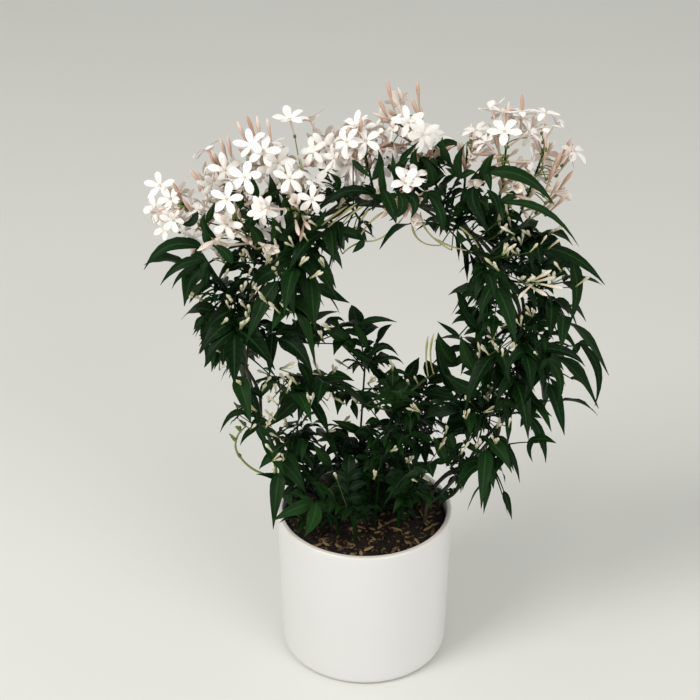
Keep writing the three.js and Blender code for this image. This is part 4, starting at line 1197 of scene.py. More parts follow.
def grow_shoot(shoot):
    """The leaves of a shoot that have found their room: the one at its tip and the pairs below it."""
    draw = draws(shoot.seed)
    end = shoot.line(0.96)
    droop = between(TIP_HABIT.droop, draw())
    heading, length = leaf_to(end, shoot.tip, droop)
    roll = math.radians(between(TIP_HABIT.roll, draw()))
    pairs = PAIRS[shoot.leaflets]
    leaves = [grow_leaf(shoot.name, "tip", end, heading, 90, 0, length, droop, roll, pairs)]
    tilt = between(SIDE_HABIT.tilt, draw())
    first = LEAVES_FROM if shoot.root is None else SOIL_LEAVES_FROM
    for k in range(shoot.pairs):
        t = mix(first, LEAVES_TO, k / (shoot.pairs - 1) if shoot.pairs > 1 else 0.5)
        way = unit(shoot.line(t + 0.03) - shoot.line(t - 0.03))
        for half in (0, 180):
            turn = tilt + 90 * k + half + between(SIDE_HABIT.turn, draw())
            open_ = between(SIDE_HABIT.open, draw())
            length = shoot.leaf * between(SIDE_HABIT.length, draw())
            droop = between(SIDE_HABIT.droop, draw())
            roll = math.radians(between(SIDE_HABIT.roll, draw()))
            place = (shoot.name, f"{k}/{half}", shoot.line(t), way)
            leaves.append(grow_leaf(*place, turn, open_, length, droop, roll, pairs))
    return [leaf for leaf in leaves if leaf]


shoots = []
for i, (root, tip, pairs, leaf, rise) in enumerate(SOIL_SHOOTS):
    shoots.append(new_shoot("young_shoot", i, 200, tip, leaf, pairs, 3, root=root, rise=rise))
for i, (at, tip, leaf, leaflets) in enumerate(SHOOTS):
    pairs = 2 if i == HANGING else 1
    shoots.append(new_shoot("leafy_shoot", i, 100, tip, leaf, pairs, leaflets, at=at))
for shoot in shoots:
    shoot.line = shoot_line(shoot)
for shoot in shoots:
    shoot.leaves = grow_shoot(shoot)
print("leaves:", sum(len(shoot.leaves) for shoot in shoots))
worst = {s.name: round(off_solid([leaf.along(1) for leaf in s.leaves], s.name), 2) for s in shoots}
print("leaf tips off their solids, mm:", {name: gap for name, gap in worst.items() if gap > 1})

# %% [markdown]
# ## Where light comes through
#
# A trained plant isn't a hedge: there is a clear view through the ring, and many small gaps let the light
# through. They are kept as outlines over the plant's best side, so that the leaves added later leave them
# open, and a grid of 4 mm cells tells which places are covered.

# %% Know which places are clear
# The clear view through the ring, and the edge of the foliage, as the plant is seen from its best side.
HOLE = np.array(
    [
        (-16, 351), (10, 355), (32, 376), (59, 362), (72, 340), (64, 311), (54, 292),
        (41, 269), (28, 253), (14, 277), (24, 296), (-6, 307), (-16, 333),
    ]  # fmt: skip
)
# Rows of height seen, the left edge and the right edge.
EDGES = np.array(
    [
        (134, -64, 70), (158, -67, 93), (172, -76, 120), (191, -88, 134), (209, -94, 140), (227, -95, 142),
        (249, -98, 146), (257, -118, 152), (276, -123, 161), (297, -127, 158), (314, -131, 160),
        (343, -129, 160), (367, -137, 146), (395, -146, 125), (418, -90, 99), (440, -60, 90),
    ]  # fmt: skip
)
# Smaller gaps in the foliage, as (across, height seen, half width, half height).
GAPS = np.array(
    [
        (-84, 256, 5, 20), (-63, 263, 4, 16), (-46, 267, 13, 13), (-62, 238, 7, 8), (-22, 270, 10, 7),
        (-3, 241, 9, 12), (-12, 217, 17, 9), (15, 214, 7, 11), (-77, 220, 4, 10), (99, 205, 7, 11),
        (121, 194, 8, 15), (135, 234, 10, 8), (143, 324, 6, 12), (58, 159, 10, 14), (73, 363, 7, 10),
        (-15, 383, 24, 9), (26, 382, 5, 6), (86, 186, 10, 8), (102, 275, 6, 7),
    ]  # fmt: skip
)
CELL = 4
CORNER = np.array([-200, 60])  # of the grid, across and up
covered = np.zeros((110, 125), bool)


def as_seen(points):
    return np.stack([points[:, 0], height_seen(points)], axis=-1)


def in_hole(points):
    """Which points look to be in the clear view: from those, an odd number of its sides lie to the right."""
    x, height = as_seen(points).T
    inside = np.zeros(len(points), bool)
    for (x1, h1), (x2, h2) in zip(HOLE, np.roll(HOLE, -1, axis=0)):
        spans = (h1 > height) != (h2 > height)
        inside ^= spans & (x < x1 + (height - h1) * (x2 - x1) / (h2 - h1 + 1e-9))
    return inside


def in_gap(points):
    away = (as_seen(points)[:, None] - GAPS[:, :2]) / GAPS[:, 2:]
    return (away**2).sum(axis=-1).min(axis=1) < 1


def over_edge(points):
    height = height_seen(points)
    left, right = (looked_up(EDGES, height, side) for side in (1, 2))
    return (points[:, 0] < left) | (points[:, 0] > right)


def seen_cells(points):
    cells = ((as_seen(points) - CORNER) / CELL).astype(int)
    return tuple(np.clip(cells, 0, np.array(covered.shape) - 1).T)


covered[seen_cells(room.points)] = True
print("cells covered:", int(covered.sum()))

# %% [markdown]
# ## A leaflet's blade
#
# A leaflet is widest a third of the way along and draws out to a long drip tip. It folds up a little
# along its midrib, its edges wave, and its tip hangs. All that is one grid of points: rings across the
# leaflet with a top and an underside, thickest at the midrib. The solids' leaflets are broad, because
# they are few. The fine leaf has two more pairs, and each leaflet is more slender.

# %% Shape a leaflet
LEAFLET_ROWS = np.array([0, 0.05, 0.13, 0.24, 0.36, 0.5, 0.64, 0.78, 0.9, 1])
HALF_WIDTHS = np.array([-1, -0.55, 0, 0.55, 1])
DRIP_TIP = 1.08  # a leaflet's length with its tip, in lengths of its solid
SLENDER = 0.94  # a leaflet's width, in widths of its solid
THICK = 0.28  # at a leaflet's midrib
SUNK = 0.9  # how far back in its rib a leaflet starts
WAVES_ALONG = 11
SIDE_BELLY, END_BELLY = 0.38, 0.33  # where a side and an end leaflet are widest
# A ring goes over the top from one edge to the other, and back underneath.
RING_ACROSS = np.concatenate([(HALF_WIDTHS + 1) / 2, (HALF_WIDTHS[-2:0:-1] + 1) / 2])
RING_UNDER = np.array([0] * 4 + [1] * 4)


def outline_of(u, belly):
    """A leaflet's half width as a share of its greatest, at u along it."""
    rise = np.sin(math.pi / 2 * np.clip(u / belly, 0, 1)) ** 0.8
    fall = np.clip((u - belly) / (1 - belly), 0, 1)
    return np.maximum(np.where(u < belly, rise, (1 - fall**1.7) ** 1.15), 0.03)


def blade_rings(line, wide, width, rows, shape, fold, wave, phase, droop=0.0, rise=0.0, thick=THICK):
    """Rings of a thin blade along a line, with its fold, its waving edge, its arch and its tip's droop."""
    middle = line(rows) + UP * (rise * np.sin(math.pi * rows) - droop * rows**3)[:, None]
    tangents = np.gradient(middle, axis=0)
    tangents /= np.linalg.norm(tangents, axis=1)[:, None]
    side = wide - tangents * (tangents @ wide)[:, None]
    side /= np.linalg.norm(side, axis=1)[:, None]
    normal = np.cross(side, tangents)
    normal *= np.sign(normal[:, 2].sum() or 1)
    half = (width / 2 * shape)[:, None]
    s = HALF_WIDTHS[None]
    ripple = np.sin(rows[:, None] * WAVES_ALONG + phase + 1.7 * np.sign(s))
    lift = fold * half * np.abs(s) ** 1.3 + wave * half * np.abs(s) ** 2 * ripple
    skin = middle[:, None] + side[:, None] * (half * s)[..., None] + normal[:, None] * lift[..., None]
    body = (thick * (1 - s**2) * np.minimum(1, shape[:, None] * 2))[..., None] * normal[:, None]
    return np.concatenate([skin + body / 2, (skin - body / 2)[:, -2:0:-1]], axis=1)


def add_leaflet(skins, leaflet, belly, chance, tint, droops=(-0.14, 0.3), rises=(0, 0.16)):
    """belly is where the leaflet is widest, and droops and rises are shares of its length."""
    line = lambda u: leaflet.line(np.asarray(u) * DRIP_TIP - SUNK / leaflet.length)
    roll = math.radians(chance.normal(0, 12))
    tangent = unit(leaflet.line(0.5) - leaflet.line(0.4))
    wide = leaflet.wide * math.cos(roll) + np.cross(tangent, leaflet.wide) * math.sin(roll)
    width = leaflet.width * SLENDER * chance.uniform(0.86, 1.12)
    fold, wave, phase = chance.uniform(0.1, 0.5), chance.uniform(0.04, 0.18), chance.uniform(0, 6.3)
    droop, rise = leaflet.length * chance.uniform(*droops), leaflet.length * chance.uniform(*rises)
    shape = outline_of(LEAFLET_ROWS, belly)
    rings = blade_rings(line, unit(wide), width, LEAFLET_ROWS, shape, fold, wave, phase, droop, rise)
    skins.add(rings, across=RING_ACROSS, along=LEAFLET_ROWS, tint=tint, under=RING_UNDER)


# A fine leaf's pairs for a solid's number of leaflets, as where they sit and their size.
FINE_PAIRS = {
    5: [(0.1, 0.5), (0.22, 0.78), (0.34, 0.94), (0.45, 1)],
    3: [(0.13, 0.58), (0.26, 0.84), (0.4, 1)],
}


def aged(value):
    """A leaf's tint, no younger than the leaves that have all their green."""
    return clipped(value, 0.5)


def add_leaf(skins, form, leaflets, chance, tint):
    stalk = form.along(np.linspace(-0.01, LEAF.rachis + 0.03, 9))
    skins.add(tube(stalk, np.linspace(0.75, 0.4, 9), 5), **PLAIN, tint=tint)
    for t, size in FINE_PAIRS[leaflets]:
        for sign in (-1, 1):
            leaflet = side_leaflet(form, t + chance.normal(0, 0.02), sign, size * chance.uniform(0.7, 1))
            places = leaflet.line(np.array([0.3, 0.65]))
            if not (in_gap(places) | over_edge(places) | in_hole(places)).any():
                add_leaflet(skins, leaflet, SIDE_BELLY, chance, aged(tint + chance.normal(0, 0.08)))
    add_leaflet(skins, end_leaflet(form), END_BELLY, chance, tint)


def add_stalk(greens, start, way, end, lead, girth=0.42, tint=0.6):
    greens.add(tube(points_on(bow(start, way, end, lead, 0), 7), girth, 5), **PLAIN, tint=tint)


print("rings in a leaflet:", len(LEAFLET_ROWS))

# %% Dress every shoot
SHOOT_STEPS = 14
ROOT_DEPTH = 20
for number, shoot in enumerate(shoots):
    chance = np.random.default_rng(1000 + number)
    skins = Skins()
    line = [*points_on(shoot.line, SHOOT_STEPS)]
    if shoot.root is not None:
        line = [vector(*shoot.root, SOIL.level - ROOT_DEPTH), *line]
    girth = np.linspace(SHOOT.base_radius * 0.9, SHOOT.tip_radius * 0.75, len(line))
    skins.add(tube(line, girth, 7, shoot.line.way), **PLAIN, tint=0.4)
    age = chance.uniform(0, 0.5)
    for leaf in shoot.leaves:
        add_leaf(skins, leaf, shoot.leaflets, chance, aged(age + chance.normal(0, 0.14)))
    skins.piece(shoot.name + "_leaves", LEAF_GREEN, "jasmine_leaf", [shoot.name])
print("dressed shoots:", len(shoots))

# %% [markdown]
# ## The leaves between
#
# The solids carry the plant's main leaves, and a real plant fills the gaps between them with more than as
# many again. They could be scattered blindly, but then the thin places stay thin. So leaves are first aimed
# at cells of the grid that still look empty, and after that the thick places get more. Each leaf grows
# from a stem or shoot nearby, keeps off the others and leaves the gaps open.

# %% Keep a coarser account of the room
# With so many leaves, comparing points is slow. A leaf may grow if no grain of room that it needs is taken.
GRAIN = 1.7
GRAIN_CORNER = vector(-210, -110, 60)
taken = np.zeros((250, 130, 270), bool)


def grains(points):
    return tuple(((points - GRAIN_CORNER) / GRAIN).astype(int).T)


taken[grains(room.points)] = True
print("grains taken:", int(taken.sum()))

# %% Grow the leaves between
# Where leaves are wanted: across, height seen and depth, then how many, how long, and how much of each
# must be over empty cells.
THICKETS = [
    (((-150, 176), (125, 400), (-75, 60)), 130, (28, 62), 0.18),
    (((-62, 64), (128, 200), (-20, 58)), 110, (24, 48), 0),
    (((-125, -35), (272, 392), (-78, 0)), 56, (28, 52), 0),
    (((60, 156), (215, 400), (-78, 20)), 60, (28, 56), 0),
    (((10, 110), (165, 262), (-66, 30)), 80, (28, 52), 0),
    (((30, 132), (384, 436), (-40, 20)), 24, (34, 62), 0),
    (((-126, -26), (356, 412), (-52, 10)), 90, (24, 46), 0),
]
AIMS_EACH = 150  # for each leaf that is wanted
MAY_TOUCH = 2  # grains that a leaf may share with others
MAY_COVER = 0.04  # how much of a leaf may look to be in a gap
MAY_PASS = 0.05  # and past the foliage's edge
LOWEST_TIP, LOWEST_PERCH = 100, 130
# How a leaf between droops, rolls and stands up, and from how many of the nearest perches it may grow.
BETWEEN_HABIT = SimpleNamespace(droop=(0, 0.42), roll=(-35, 35), steepest=0.97, perches=5)
perches = [bend.point + bend.way * bend.radius for bend in BENDS if bend.point[2] > LOWEST_PERCH]
for shoot in shoots:
    perches += [*points_on(shoot.line, 9, 0.08)]
perches = np.array(perches)
chance = np.random.default_rng(31)
leaves_between = []


def leaf_between(place, shortest, longest, fresh):
    """A leaf that reaches a place in a thicket from one of the nearest perches, or None."""
    x, seen, y = (chance.uniform(*pair) for pair in place)
    tip = vector(x, y, seen - LOOK * y)
    is_filled = fresh and covered[seen_cells(tip[None])][0]
    if tip[2] < LOWEST_TIP or is_filled or in_hole(tip[None])[0] or over_edge(tip[None])[0]:
        return None
    away = np.linalg.norm(perches - tip, axis=1)
    near = np.flatnonzero((away > 0.6 * shortest) & (away < 0.85 * longest))
    if not len(near):
        return None
    chosen = min(len(near) - 1, int(chance.integers(0, BETWEEN_HABIT.perches)))
    base = perches[near[np.argsort(away[near])[chosen]]]
    droop = chance.uniform(*BETWEEN_HABIT.droop)
    heading, length = leaf_to(base, tip, droop)
    if abs(heading[2]) > BETWEEN_HABIT.steepest or not shortest < length < longest:
        return None
    form = leaf_form(base, heading, length, droop, math.radians(chance.uniform(*BETWEEN_HABIT.roll)))
    points, radii = leaf_points(form, FINE_PAIRS[3])
    if (~covered[seen_cells(points)]).mean() < fresh or taken[grains(points)].sum() > MAY_TOUCH:
        return None
    if in_hole(points).any() or in_gap(points).mean() > MAY_COVER:
        return None
    if over_edge(points).mean() > MAY_PASS or in_pot(points, radii):
        return None
    room.occupy(points, radii, "between")
    taken[grains(points)] = True
    covered[seen_cells(points)] = True
    return form


for place, wanted, sizes, fresh in THICKETS:
    before = len(leaves_between)
    for _ in range(AIMS_EACH * wanted):
        form = leaf_between(place, *sizes, fresh)
        if form:
            leaves_between.append(form)
        if len(leaves_between) - before == wanted:
            break
    print("leaves in this thicket:", len(leaves_between) - before, "of", wanted)
print("cells covered:", int(covered.sum()))

# %% [markdown]
# Some leaves give the wreath its ragged outline: they reach out past the rest and hang in an arch, stand up
# between the flowers or lean into the ring. These are listed one by one, each as its depth, its width and
# the start, middle and tip of its blade. A stalk joins each to the nearest stem or shoot, and a long one
# has a pair of small leaflets where its blade starts.

# %% Set the leaves that give the outline
SET_LEAVES = [
    (-30, 8.9, (84, 429), (109, 425), (131, 402)), (-42, 6.5, (92, 411), (123, 405), (148, 376)),
    (-24, 9.7, (124, 369), (150, 360), (172, 337)), (-16, 10.5, (148, 356), (154, 330), (149, 301)),
    (-14, 6.5, (160, 285), (175, 262), (174, 229)), (-44, 8.1, (123, 297), (145, 294), (160, 281)),
    (-52, 7.3, (131, 292), (141, 276), (140, 252)), (-30, 10.5, (115, 259), (125, 245), (141, 230)),
    (-24, 7.3, (123, 229), (134, 210), (139, 184)), (-20, 4.9, (132, 206), (126, 197), (130, 182)),
    (-44, 6.5, (102, 252), (106, 232), (106, 211)), (-36, 5.7, (99, 215), (111, 200), (118, 174)),
    (-30, 4, (85, 222), (93, 221), (99, 213)), (-30, 4, (87, 212), (93, 209), (98, 199)),
    (-34, 5.7, (75, 211), (83, 204), (93, 199)), (-34, 4.9, (86, 191), (93, 194), (100, 191)),
    (-30, 7.3, (85, 188), (78, 178), (75, 163)), (-24, 4, (69, 296), (60, 303), (51, 309)),
    (-20, 12.9, (68, 269), (58, 281), (53, 298)), (-20, 7.3, (76, 309), (70, 324), (65, 331)),
    (-16, 5.7, (-6, 300), (8, 306), (24, 303)), (-16, 7.3, (1, 282), (-4, 294), (-10, 305)),
    (-18, 5.7, (4, 276), (14, 285), (25, 275)), (-18, 3.2, (8, 270), (20, 275), (29, 268)),
    (-18, 4, (15, 261), (26, 263), (36, 254)), (-14, 8.1, (4, 270), (-6, 276), (-15, 284)),
    (-14, 5.7, (16, 252), (7, 261), (0, 270)), (-20, 4.9, (-10, 234), (4, 244), (20, 228)),
    (-20, 4.9, (-21, 255), (-13, 250), (-6, 241)), (-16, 9.7, (-10, 284), (-21, 293), (-32, 296)),
    (-36, 8.1, (8, 413), (-17, 416), (-43, 391)), (-30, 8.1, (-2, 377), (-19, 384), (-37, 378)),
    (-32, 8.1, (-36, 378), (-24, 369), (-17, 354)), (-52, 8.9, (11, 425), (17, 411), (20, 398)),
    (-52, 8.1, (25, 423), (33, 415), (29, 402)), (-46, 8.9, (42, 421), (51, 403), (50, 386)),
    (-54, 7.3, (21, 424), (24, 412), (14, 402)), (-46, 7.3, (-107, 377), (-112, 386), (-112, 397)),
    (-46, 7.3, (-95, 367), (-101, 377), (-109, 380)), (-40, 6.5, (-47, 385), (-34, 395), (-28, 406)),
    (-26, 7.3, (66, 423), (63, 436), (68, 448)), (-26, 7.3, (82, 418), (83, 432), (89, 441)),
    (-22, 6.5, (59, 433), (53, 442), (52, 452)), (-24, 6.5, (51, 422), (44, 428), (37, 438)),
    (-34, 8.1, (70, 417), (78, 399), (86, 382)), (-30, 10.5, (-118, 371), (-141, 372), (-159, 352)),
    (-40, 6.5, (-114, 366), (-132, 362), (-147, 345)), (-38, 5.7, (-113, 361), (-129, 356), (-139, 341)),
    (-40, 4.9, (-111, 362), (-121, 355), (-128, 343)), (-20, 4.9, (-113, 336), (-123, 331), (-129, 320)),
    (-24, 13.7, (-119, 312), (-114, 290), (-120, 269)), (-30, 12.1, (-99, 305), (-104, 290), (-105, 273)),
    (-24, 6.5, (-120, 396), (-125, 387), (-134, 388)), (-16, 5.7, (-91, 224), (-102, 224), (-112, 206)),
    (-34, 6.5, (-82, 230), (-78, 215), (-68, 198)), (-26, 4.9, (-82, 218), (-90, 213), (-96, 201)),
    (-22, 7.3, (-56, 162), (-69, 171), (-85, 174)), (-26, 7.3, (-78, 246), (-73, 257), (-62, 261)),
    (-26, 5.7, (-64, 240), (-49, 251), (-32, 248)), (-22, 9.7, (-32, 247), (-40, 259), (-51, 259)),
    (-40, 7.3, (-73, 406), (-67, 415), (-57, 420)), (-36, 6.5, (-94, 406), (-96, 416), (-90, 425)),
    (-38, 7.3, (-53, 401), (-60, 411), (-63, 422)), (-44, 7.3, (-85, 390), (-80, 400), (-81, 411)),
    (-40, 7.3, (-106, 383), (-114, 392), (-111, 403)), (-44, 8.1, (-63, 387), (-53, 394), (-44, 405)),
    (-34, 7.3, (4, 425), (9, 435), (7, 447)), (-34, 7.3, (20, 422), (23, 435), (31, 441)),
    (-30, 6.5, (37, 424), (32, 438), (36, 447)), (-36, 5.7, (-111, 356), (-118, 344), (-127, 329)),
    (-26, 10.5, (65, 251), (56, 272), (51, 296)), (-30, 9.7, (82, 252), (70, 259), (57, 268)),
    (-30, 9.7, (83, 268), (74, 283), (69, 301)), (-30, 7.3, (82, 305), (73, 315), (65, 329)),
    (-26, 9.7, (-36, 340), (-25, 332), (-11, 324)), (-30, 7.3, (-78, 249), (-73, 257), (-62, 262)),
    (-26, 10.5, (-33, 245), (-41, 254), (-50, 261)), (-28, 12.1, (-49, 246), (-61, 234), (-75, 219)),
    (-26, 7.3, (-86, 251), (-83, 234), (-81, 215)), (-44, 4.9, (22, 442), (28, 449), (36, 458)),
    (-46, 5.7, (13, 415), (10, 430), (11, 444)), (-44, 8.1, (46, 426), (44, 435), (39, 443)),
    (-48, 4.9, (-10, 445), (-4, 438), (4, 430)), (-44, 4.9, (20, 430), (18, 439), (17, 448)),
    (-40, 7.3, (-77, 411), (-78, 421), (-79, 430)), (-40, 5.7, (-66, 412), (-65, 421), (-67, 431)),
    (-42, 10.5, (-54, 390), (-56, 404), (-57, 416)), (-40, 5.7, (-46, 400), (-46, 410), (-44, 422)),
    (-42, 5.7, (-89, 406), (-87, 413), (-85, 421)), (-42, 4.9, (-90, 411), (-92, 419), (-92, 426)),
    (-42, 5.7, (-112, 396), (-108, 404), (-104, 412)), (-36, 4.9, (-57, 426), (-54, 433), (-54, 440)),
    (-44, 8.9, (-73, 379), (-77, 388), (-82, 395)), (-44, 7.3, (-66, 383), (-63, 393), (-67, 402)),
    (-44, 8.9, (73, 424), (74, 410), (83, 393)), (-44, 7.3, (84, 422), (89, 412), (90, 400)),
    (-26, 8.9, (62, 186), (57, 200), (51, 211)), (-26, 8.9, (69, 197), (64, 211), (60, 224)),
    (-30, 9.7, (-26, 186), (-33, 196), (-40, 207)), (-24, 8.1, (-3, 212), (-15, 219), (-26, 224)),
]  # fmt: skip
# Two young ones lie over the pot's rim.
RIM_LEAVES = [
    (-52, 9.7, (-40, 166), (-55, 161), (-72, 150)), (-58, 12.1, (-37, 170), (-40, 155), (-47, 140)),
]  # fmt: skip
BEST_SIDE = unit(vector(0, 1, -LOOK))
MOST_LEAN = 9  # how far a blade's ends may lean off its depth, in steps along the line of sight
PAIR_FROM = 32  # the shortest blade with a pair of leaflets at its foot
PAIR_LENGTH, PAIR_WIDTH = (11, 15), 5.5
SET_ROOM = 2


def bent_blade(start, middle, tip, width):
    """A blade through three points, as broad as it can look from the best side."""
    control = 2 * middle - (start + tip) / 2

    def line(u):
        u = np.asarray(u, float)[..., None] / DRIP_TIP
        return start * (1 - u) ** 2 + control * 2 * u * (1 - u) + tip * u**2

    length = np.linalg.norm(middle - start) + np.linalg.norm(tip - middle)
    wide = unit(np.cross(tip - start, BEST_SIDE))
    return SimpleNamespace(length=length, width=width / SLENDER, wide=wide, line=line)


def set_leaf(skins, depth, width, places, chance, tint):
    """Add a leaf with its stalk and, if it is long, a pair of leaflets at its foot."""
    start, middle, tip = (vector(x, depth, z) for x, z in places)
    # The blade leans forward along the line of sight, so it still looks the same from the best side.
    start = start + (UP * -LOOK + vector(0, 1, 0)) * chance.uniform(0, MOST_LEAN)
    tip = tip - (UP * -LOOK + vector(0, 1, 0)) * chance.uniform(0, MOST_LEAN)
    perch = nearest(perches, start)
    blade = bent_blade(start, middle, tip, width)
    add_stalk(skins, perch, unit(start - perch) + 0.3 * UP, start + (middle - start) * 0.06, 5, 0.5, tint)
    add_leaflet(skins, blade, 0.34, chance, tint, droops=(0, 0), rises=(0, 0))
    if blade.length > PAIR_FROM:
        for sign in (-1, 1):
            way = unit(unit(middle - start) + sign * blade.wide * 1.3 - 0.2 * UP)
            way = way * chance.uniform(*PAIR_LENGTH)
            side = bent_blade(start, start + way * 0.5, start + way, PAIR_WIDTH)
            add_leaflet(skins, side, SIDE_BELLY, chance, tint)
    room.occupy(blade.line(np.linspace(0, 1, 30)), SET_ROOM, "set")


print("leaves set by hand:", len(SET_LEAVES) + len(RIM_LEAVES))

# %% Dress the leaves between and the listed ones
BUNCH = 60  # leaves in a piece
OLD, YOUNG = 0.15, 0.55  # tints of the listed leaves
chance = np.random.default_rng(32)
for first in range(0, len(leaves_between), BUNCH):
    skins = Skins()
    for form in leaves_between[first : first + BUNCH]:
        add_leaf(skins, form, 3, chance, aged(chance.normal(0.2, 0.18)))
    skins.piece(f"leaves_between_{first // BUNCH + 1}", LEAF_GREEN, "jasmine_leaf")
skins = Skins()
for depth, width, *places in SET_LEAVES:
    set_leaf(skins, depth, width, places, chance, aged(chance.normal(OLD, 0.1)))
for depth, width, *places in RIM_LEAVES:
    set_leaf(skins, depth, width, places, chance, YOUNG)
skins.piece("arching_leaves", LEAF_GREEN, "jasmine_leaf")
print("bunches:", math.ceil(len(leaves_between) / BUNCH) + 1)

# %% [markdown]
# ## A flower and a bud
#
# The five lobes are narrow ovals with a short point. On a flower that is full out they lie flat and bend
# back a little at the tip, and on a younger one they still form a cup. The tube below is pink. A small
# green calyx holds its foot. A bud is one slim spindle: green at its foot, dusky pink along its
# side and paler where it will open. The youngest buds are all cream and green.

# %% Shape a flower and a bud
PETAL_ROWS = np.array([0, 0.16, 0.38, 0.6, 0.8, 0.93, 1])
PETAL_SHAPE = np.array([0.46, 0.6, 0.88, 1, 0.82, 0.46, 0.06])
PETAL_WIDTH = 6.1
PETAL_THICK = 0.34
THROAT = 1.2  # how far from the flower's middle a lobe starts
CUPPED = math.radians(62)
CALYX_STEPS = np.array([0, 0.6, 1.6, 2.8, 3.3])
CALYX_RADII = np.array([0.5, 1.05, 1.2, 1.15, 0.7])
# These two are in shares of a bud's length and in millimetres.
BUD_STEPS = np.array([0.05, 0.2, 0.38, 0.52, 0.64, 0.74, 0.85, 0.94, 1])
BUD_RADII = np.array([0.55, 0.66, 0.78, 0.98, 1.35, 1.6, 1.45, 0.85, 0.22])


def facing_up(rings, direction):
    """Whether a blade's top, the first half of each ring, looks along a direction."""
    middle = len(rings) // 2
    return (rings[middle, 2] - rings[middle, 6]).dot(direction) > 0


def add_calyx(greens, bloom):
    line = bloom.base + bloom.direction * (CALYX_STEPS * bloom.size)[:, None]
    greens.add(tube(line, CALYX_RADII * bloom.size, 6), **PLAIN, tint=0.75)


def petal_line(end, way, direction, reach, rise, back, cup):
    """A lobe's middle line: how far it reaches, rises, bends back at its tip and stands up in a cup."""

    def line(r):
        r = np.asarray(r, float)[..., None]
        run = THROAT + (reach - THROAT) * r
        raised = rise * np.sin(math.pi * r * 0.8) + back * r**2.2
        return end + way * run * math.cos(cup) + direction * (run * math.sin(cup) + raised)

    return line


def add_flower(skins, greens, bloom, chance, cup, youth):
    """cup is how far the lobes stand up, in shares of CUPPED, and youth how pink they still are."""
    size = bloom.size
    out = out_from(bloom.direction, bloom.spin)
    # The tube widens to the throat, where its pink fades.
    steps = np.linspace(0.08, 1, 8)
    line = bloom.base + bloom.direction * (bloom.length * steps)[:, None]
    radii = np.interp(steps, [0, 0.5, 0.85, 1], [0.6, 0.8, 1.0, 1.6]) * size
    blush = np.interp(steps, [0, 0.6, 1], [0.8, 0.7, 0.2]) * chance.uniform(0.6, 1.1)
    skins.add(tube(line, radii, 7), blush=blush, tint=np.interp(steps, [0, 0.3], [0.4, 0.05 + 0.2 * youth]))
    width = PETAL_WIDTH * size * chance.uniform(0.88, 1.1)
    openness = chance.normal(0, 1.1)
    for k in range(5):
        way = out(2 * math.pi * k / 5 + chance.normal(0, 0.06))
        back = chance.normal(-1.2, 1.4) + openness
        reach = FLOWER.lobes * size * chance.uniform(0.93, 1.05)
        tilt = CUPPED * max(0, cup + chance.normal(0, 0.06))
        line = petal_line(bloom.end, way, bloom.direction, reach, 0.9 * size, back, tilt)
        wide = unit(np.cross(bloom.direction, way))
        fold, phase = chance.normal(0.05, 0.14), chance.uniform(0, 6.3)
        shape = (PETAL_ROWS, PETAL_SHAPE, fold, 0.06, phase)
        rings = blade_rings(line, wide, width, *shape, thick=PETAL_THICK)
        under = RING_UNDER if facing_up(rings, bloom.direction) else 1 - RING_UNDER
        pinkness = np.interp(PETAL_ROWS, [0, 0.15, 1], [0.2 + 0.4 * youth, 0.03 + 0.32 * youth, 0.2 * youth])
        skins.add(rings, across=RING_ACROSS, along=PETAL_ROWS, tint=0.1 * youth, blush=pinkness, under=under)
    # The anthers just show in the throat.
    anthers = bloom.end + bloom.direction * np.array([[-0.6], [0.2], [0.7], [1.1]])
    skins.add(tube(anthers, np.array([0.5, 0.85, 0.7, 0.15]) * size, 5), tint=0.55, blush=0.1)
    add_calyx(greens, bloom)


def add_bud(skins, greens, bloom, chance, pinks, yellows):
    """pinks and yellows are its blush and tint at the foot, the middle, the belly and the tip."""
    bend = ways_across(bloom.direction)[0] * chance.normal(0, 0.03) * bloom.length
    line = bloom.base + bloom.direction * (bloom.length * BUD_STEPS)[:, None]
    line = line + bend * np.sin(math.pi * BUD_STEPS)[:, None]
    blush, tint = (np.interp(BUD_STEPS, [0, 0.4, 0.75, 1], values) for values in (pinks, yellows))
    skins.add(tube(line, BUD_RADII * bloom.size, 8), blush=blush, tint=tint)
    add_calyx(greens, bloom)


print("petal rows:", len(PETAL_ROWS))

# %% [markdown]
# ## Fuller heads
#
# The heads of the sprays are so full on the plant that their flowers touch. More flowers and buds go
# into the room that is left round each head, a little smaller than the first ones. Some buds and flowers
# stand over or before the heads on stalks of their own.

# %% Fill the heads
# In a full head, a bloom may touch others, and it needs only a part of the usual room.
FULLER = SimpleNamespace(others=0, own=-0.3)
SQUEEZED = 0.6
AIMS = 110  # for each bloom
WIDEST = 96  # how far a bloom may lean out from its head, in degrees
FLOWER_SPARE, BUD_SPARE = -9, 4  # how far their ends may be over the heads' tops
# How many more flowers and buds each spray gets.
MORE_BLOOMS = [
    (8, 3), (10, 3), (7, 4), (10, 4), (8, 4), (11, 4), (9, 6), (9, 9), (1, 9), (2, 4), (3, 6), (2, 6), (0, 2)
]  # fmt: skip
chance = np.random.default_rng(41)
# How high and how low the open flowers reach, as places across and heights seen.
HEAD_TOPS = np.array(
    [
        (-152, 413), (-125, 420), (-95, 430), (-78, 436), (-60, 442), (-34, 447), (-11, 462), (7, 472),
        (29, 462), (46, 450), (60, 438), (78, 440), (92, 474), (113, 478), (133, 470), (153, 440),
    ]  # fmt: skip
)
HEAD_FEET = np.array(
    [
        (-147, 367), (-121, 368), (-108, 394), (-80, 402), (-55, 404), (-34, 402), (-15, 405), (-5, 409),
        (13, 410), (24, 400), (39, 402), (47, 418), (80, 435), (102, 429), (117, 420), (139, 412),
    ]  # fmt: skip
)


def over_heads(point, spare):
    return height_seen(point[None])[0] > looked_up(HEAD_TOPS, point[0]) + spare


def under_heads(point):
    return height_seen(point[None])[0] < looked_up(HEAD_FEET, point[0])


